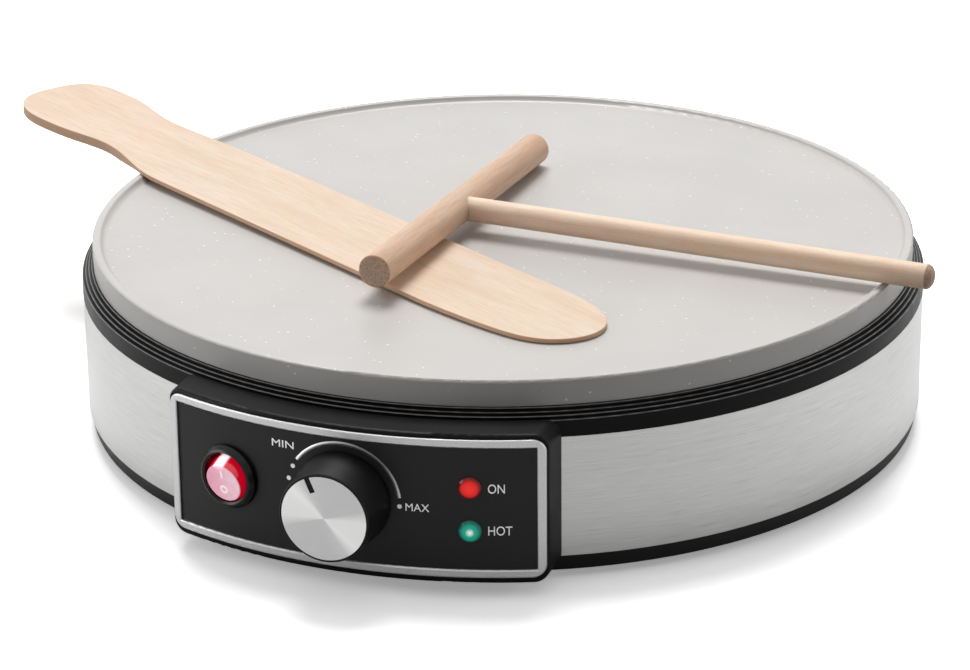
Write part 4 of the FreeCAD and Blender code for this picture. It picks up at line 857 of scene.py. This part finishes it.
dress(inner_finish("zinc_plated_steel", "#a9abad", "#c3c5c4", 1.0, 0.35, 3.0),
      "element_clamps", "plate_posts", "plate_screws", "housing_screws", "thermostat_shaft",
      "thermostat_bracket")
dress(inner_finish("heat_stained_steel", "#4b3f38", "#6f655c", 1.0, 0.48, 12.0),
      "heating_element")
dress(inner_finish("mill_aluminium", "#b9babb", "#cfd0d0", 1.0, 0.3, 40.0), "heat_reflector")
dress(inner_finish("plain_brass", "#b58f47", "#cfab62", 1.0, 0.32, 4.0), "earth_screw",
      "thermostat_nut", "switch_tabs")
dress(inner_finish("drawn_copper", "#a9623f", "#c67e57", 1.0, 0.34, 5.0), "sensor_bulb",
      "capillary_tube")
dress(inner_finish("steatite_ceramic", "#cfc6b2", "#ddd6c6", 0.0, 0.62, 6.0), "thermostat",
      "thermal_cutout")
dress(inner_finish("woven_glass_sleeve", "#b5afa3", "#cdc8bd", 0.0, 0.85, 1.2, 0.8),
      "inner_leads")

# %% [markdown]
# ## The floor
#
# The object stands on a plain pale floor that runs out of sight. The camera sees it white
# where no shadow falls, but only a little of its light reaches the object from below. In the
# steel and the black plastic it is mirrored brighter at the sides than in front, because the
# real room was brighter there.

# %% Floor
TOWARDS_VIEWER = (0.3, -0.95, 0.0)
FLOOR_HALF = 8.0
FLOOR_BOUNCE, FLOOR_WHITE, FLOOR_LIFT = 0.25, 1.3, 0.3
FLOOR_SIDES, FLOOR_FRONT = 0.95, 0.66


def seen_directly(tree):
    """1 for rays from the camera, and 1 for rays that were mirrored or refracted."""
    path = add(tree, "ShaderNodeLightPath")
    bent = math_node(tree, "MAXIMUM", path.outputs["Is Glossy Ray"],
                     path.outputs["Is Transmission Ray"])
    return path.outputs["Is Camera Ray"], bent


def pale_paper():
    material, tree, surface = new_material("pale_paper", Roughness=0.9, Specular_IOR_Level=0.0)
    from_camera, bent = seen_directly(tree)
    outward = vector_node(tree, "NORMALIZE", place_of(tree))
    front = vector_node(tree, "DOT_PRODUCT", outward, TOWARDS_VIEWER)
    mirrored = spread(tree, front, 0.2, 1.0, FLOOR_SIDES, FLOOR_FRONT)
    shade = blend(tree, from_camera, grey(tree, FLOOR_BOUNCE), grey(tree, FLOOR_WHITE))
    tree.links.new(blend(tree, bent, shade, grey(tree, mirrored)), surface.inputs["Base Color"])
    surface.inputs["Emission Color"].default_value = (1, 1, 1, 1)
    tree.links.new(math_node(tree, "MULTIPLY", from_camera, FLOOR_LIFT),
                   surface.inputs["Emission Strength"])
    return material


def make_floor():
    mesh = bpy.data.meshes.new("floor")
    signs = ((-1, -1), (1, -1), (1, 1), (-1, 1))
    corners = [(x * FLOOR_HALF, y * FLOOR_HALF, 0) for x, y in signs]
    mesh.from_pydata(corners, [], [(0, 1, 2, 3)])
    mesh.materials.append(pale_paper())
    floor = bpy.data.objects.new("floor", mesh)
    bpy.context.scene.collection.objects.link(floor)


make_floor()
print("floor half width:", FLOOR_HALF)

# %% [markdown]
# ## The light
#
# The main light is high and behind, a little to the left, which is why the tools' short soft
# shadows fall towards the viewer. It is a sun lamp with a wide disc, as even as a large
# softbox. Its direction was found from two shadows: how far the handle's falls to the front,
# and the bar's to the right. A weaker and wider one overhead softens the shadows. Two low
# lamps at the sides brighten the flanks of the plate and leave its front dark. The world is
# white to the camera and nearly dark to matt surfaces. Mirrored, it fades to the front and up.

# %% World and lamps
SUN_WAY = Vector((-0.18, 0.46, 1.0)).normalized()
SKY_DIFFUSE, SKY_SIDES, SKY_FRONT, SKY_TOP = 0.04, 1.25, 0.6, 0.6


def make_world():
    world = bpy.data.worlds.new("studio")
    world.use_nodes = True
    tree = world.node_tree
    tree.nodes.clear()
    from_camera, bent = seen_directly(tree)
    way = add(tree, "ShaderNodeTexCoord").outputs["Generated"]
    front = vector_node(tree, "DOT_PRODUCT", way, TOWARDS_VIEWER)
    height = add(tree, "ShaderNodeSeparateXYZ", {0: way}).outputs["Z"]
    mirrored = math_node(tree, "MULTIPLY", spread(tree, front, -0.3, 1.0, SKY_SIDES, SKY_FRONT),
                         spread(tree, height, 0.25, 0.9, 1.0, SKY_TOP))
    strength = spread(tree, from_camera, 0.0, 1.0, SKY_DIFFUSE, 1.0)
    strength = add(tree, "ShaderNodeMix", {0: bent, 2: strength, 3: mirrored},
                   data_type="FLOAT").outputs[0]
    sky = add(tree, "ShaderNodeBackground", {"Color": (1, 1, 1, 1), "Strength": strength})
    output = add(tree, "ShaderNodeOutputWorld")
    tree.links.new(sky.outputs[0], output.inputs["Surface"])
    bpy.context.scene.world = world


def add_lamp(name, kind, place, **settings):
    """A lamp that faces the middle of the object from its place."""
    data = bpy.data.lights.new(name, kind)
    for key, value in settings.items():
        setattr(data, key, value)
    lamp = bpy.data.objects.new(name, data)
    lamp.location = place
    aim = Vector((0, 0, 0.05)) - Vector(place)
    lamp.rotation_euler = aim.to_track_quat("-Z", "Y").to_euler()
    bpy.context.scene.collection.objects.link(lamp)


make_world()
add_lamp("key", "SUN", SUN_WAY * 3.0, energy=2.45, angle=math.radians(31.0))
add_lamp("overhead", "SUN", (0.0, -0.3, 3.0), energy=0.65, angle=math.radians(90.0))
add_lamp("left_side", "AREA", (-1.4, -0.7, 0.5), energy=8.0, shape="SQUARE", size=0.9)
add_lamp("right_side", "AREA", (1.6, 0.5, 0.6), energy=5.0, shape="SQUARE", size=0.9)
bpy.context.scene.view_settings.view_transform = "Standard"
print("lamps:", [lamp.name for lamp in bpy.data.lights])
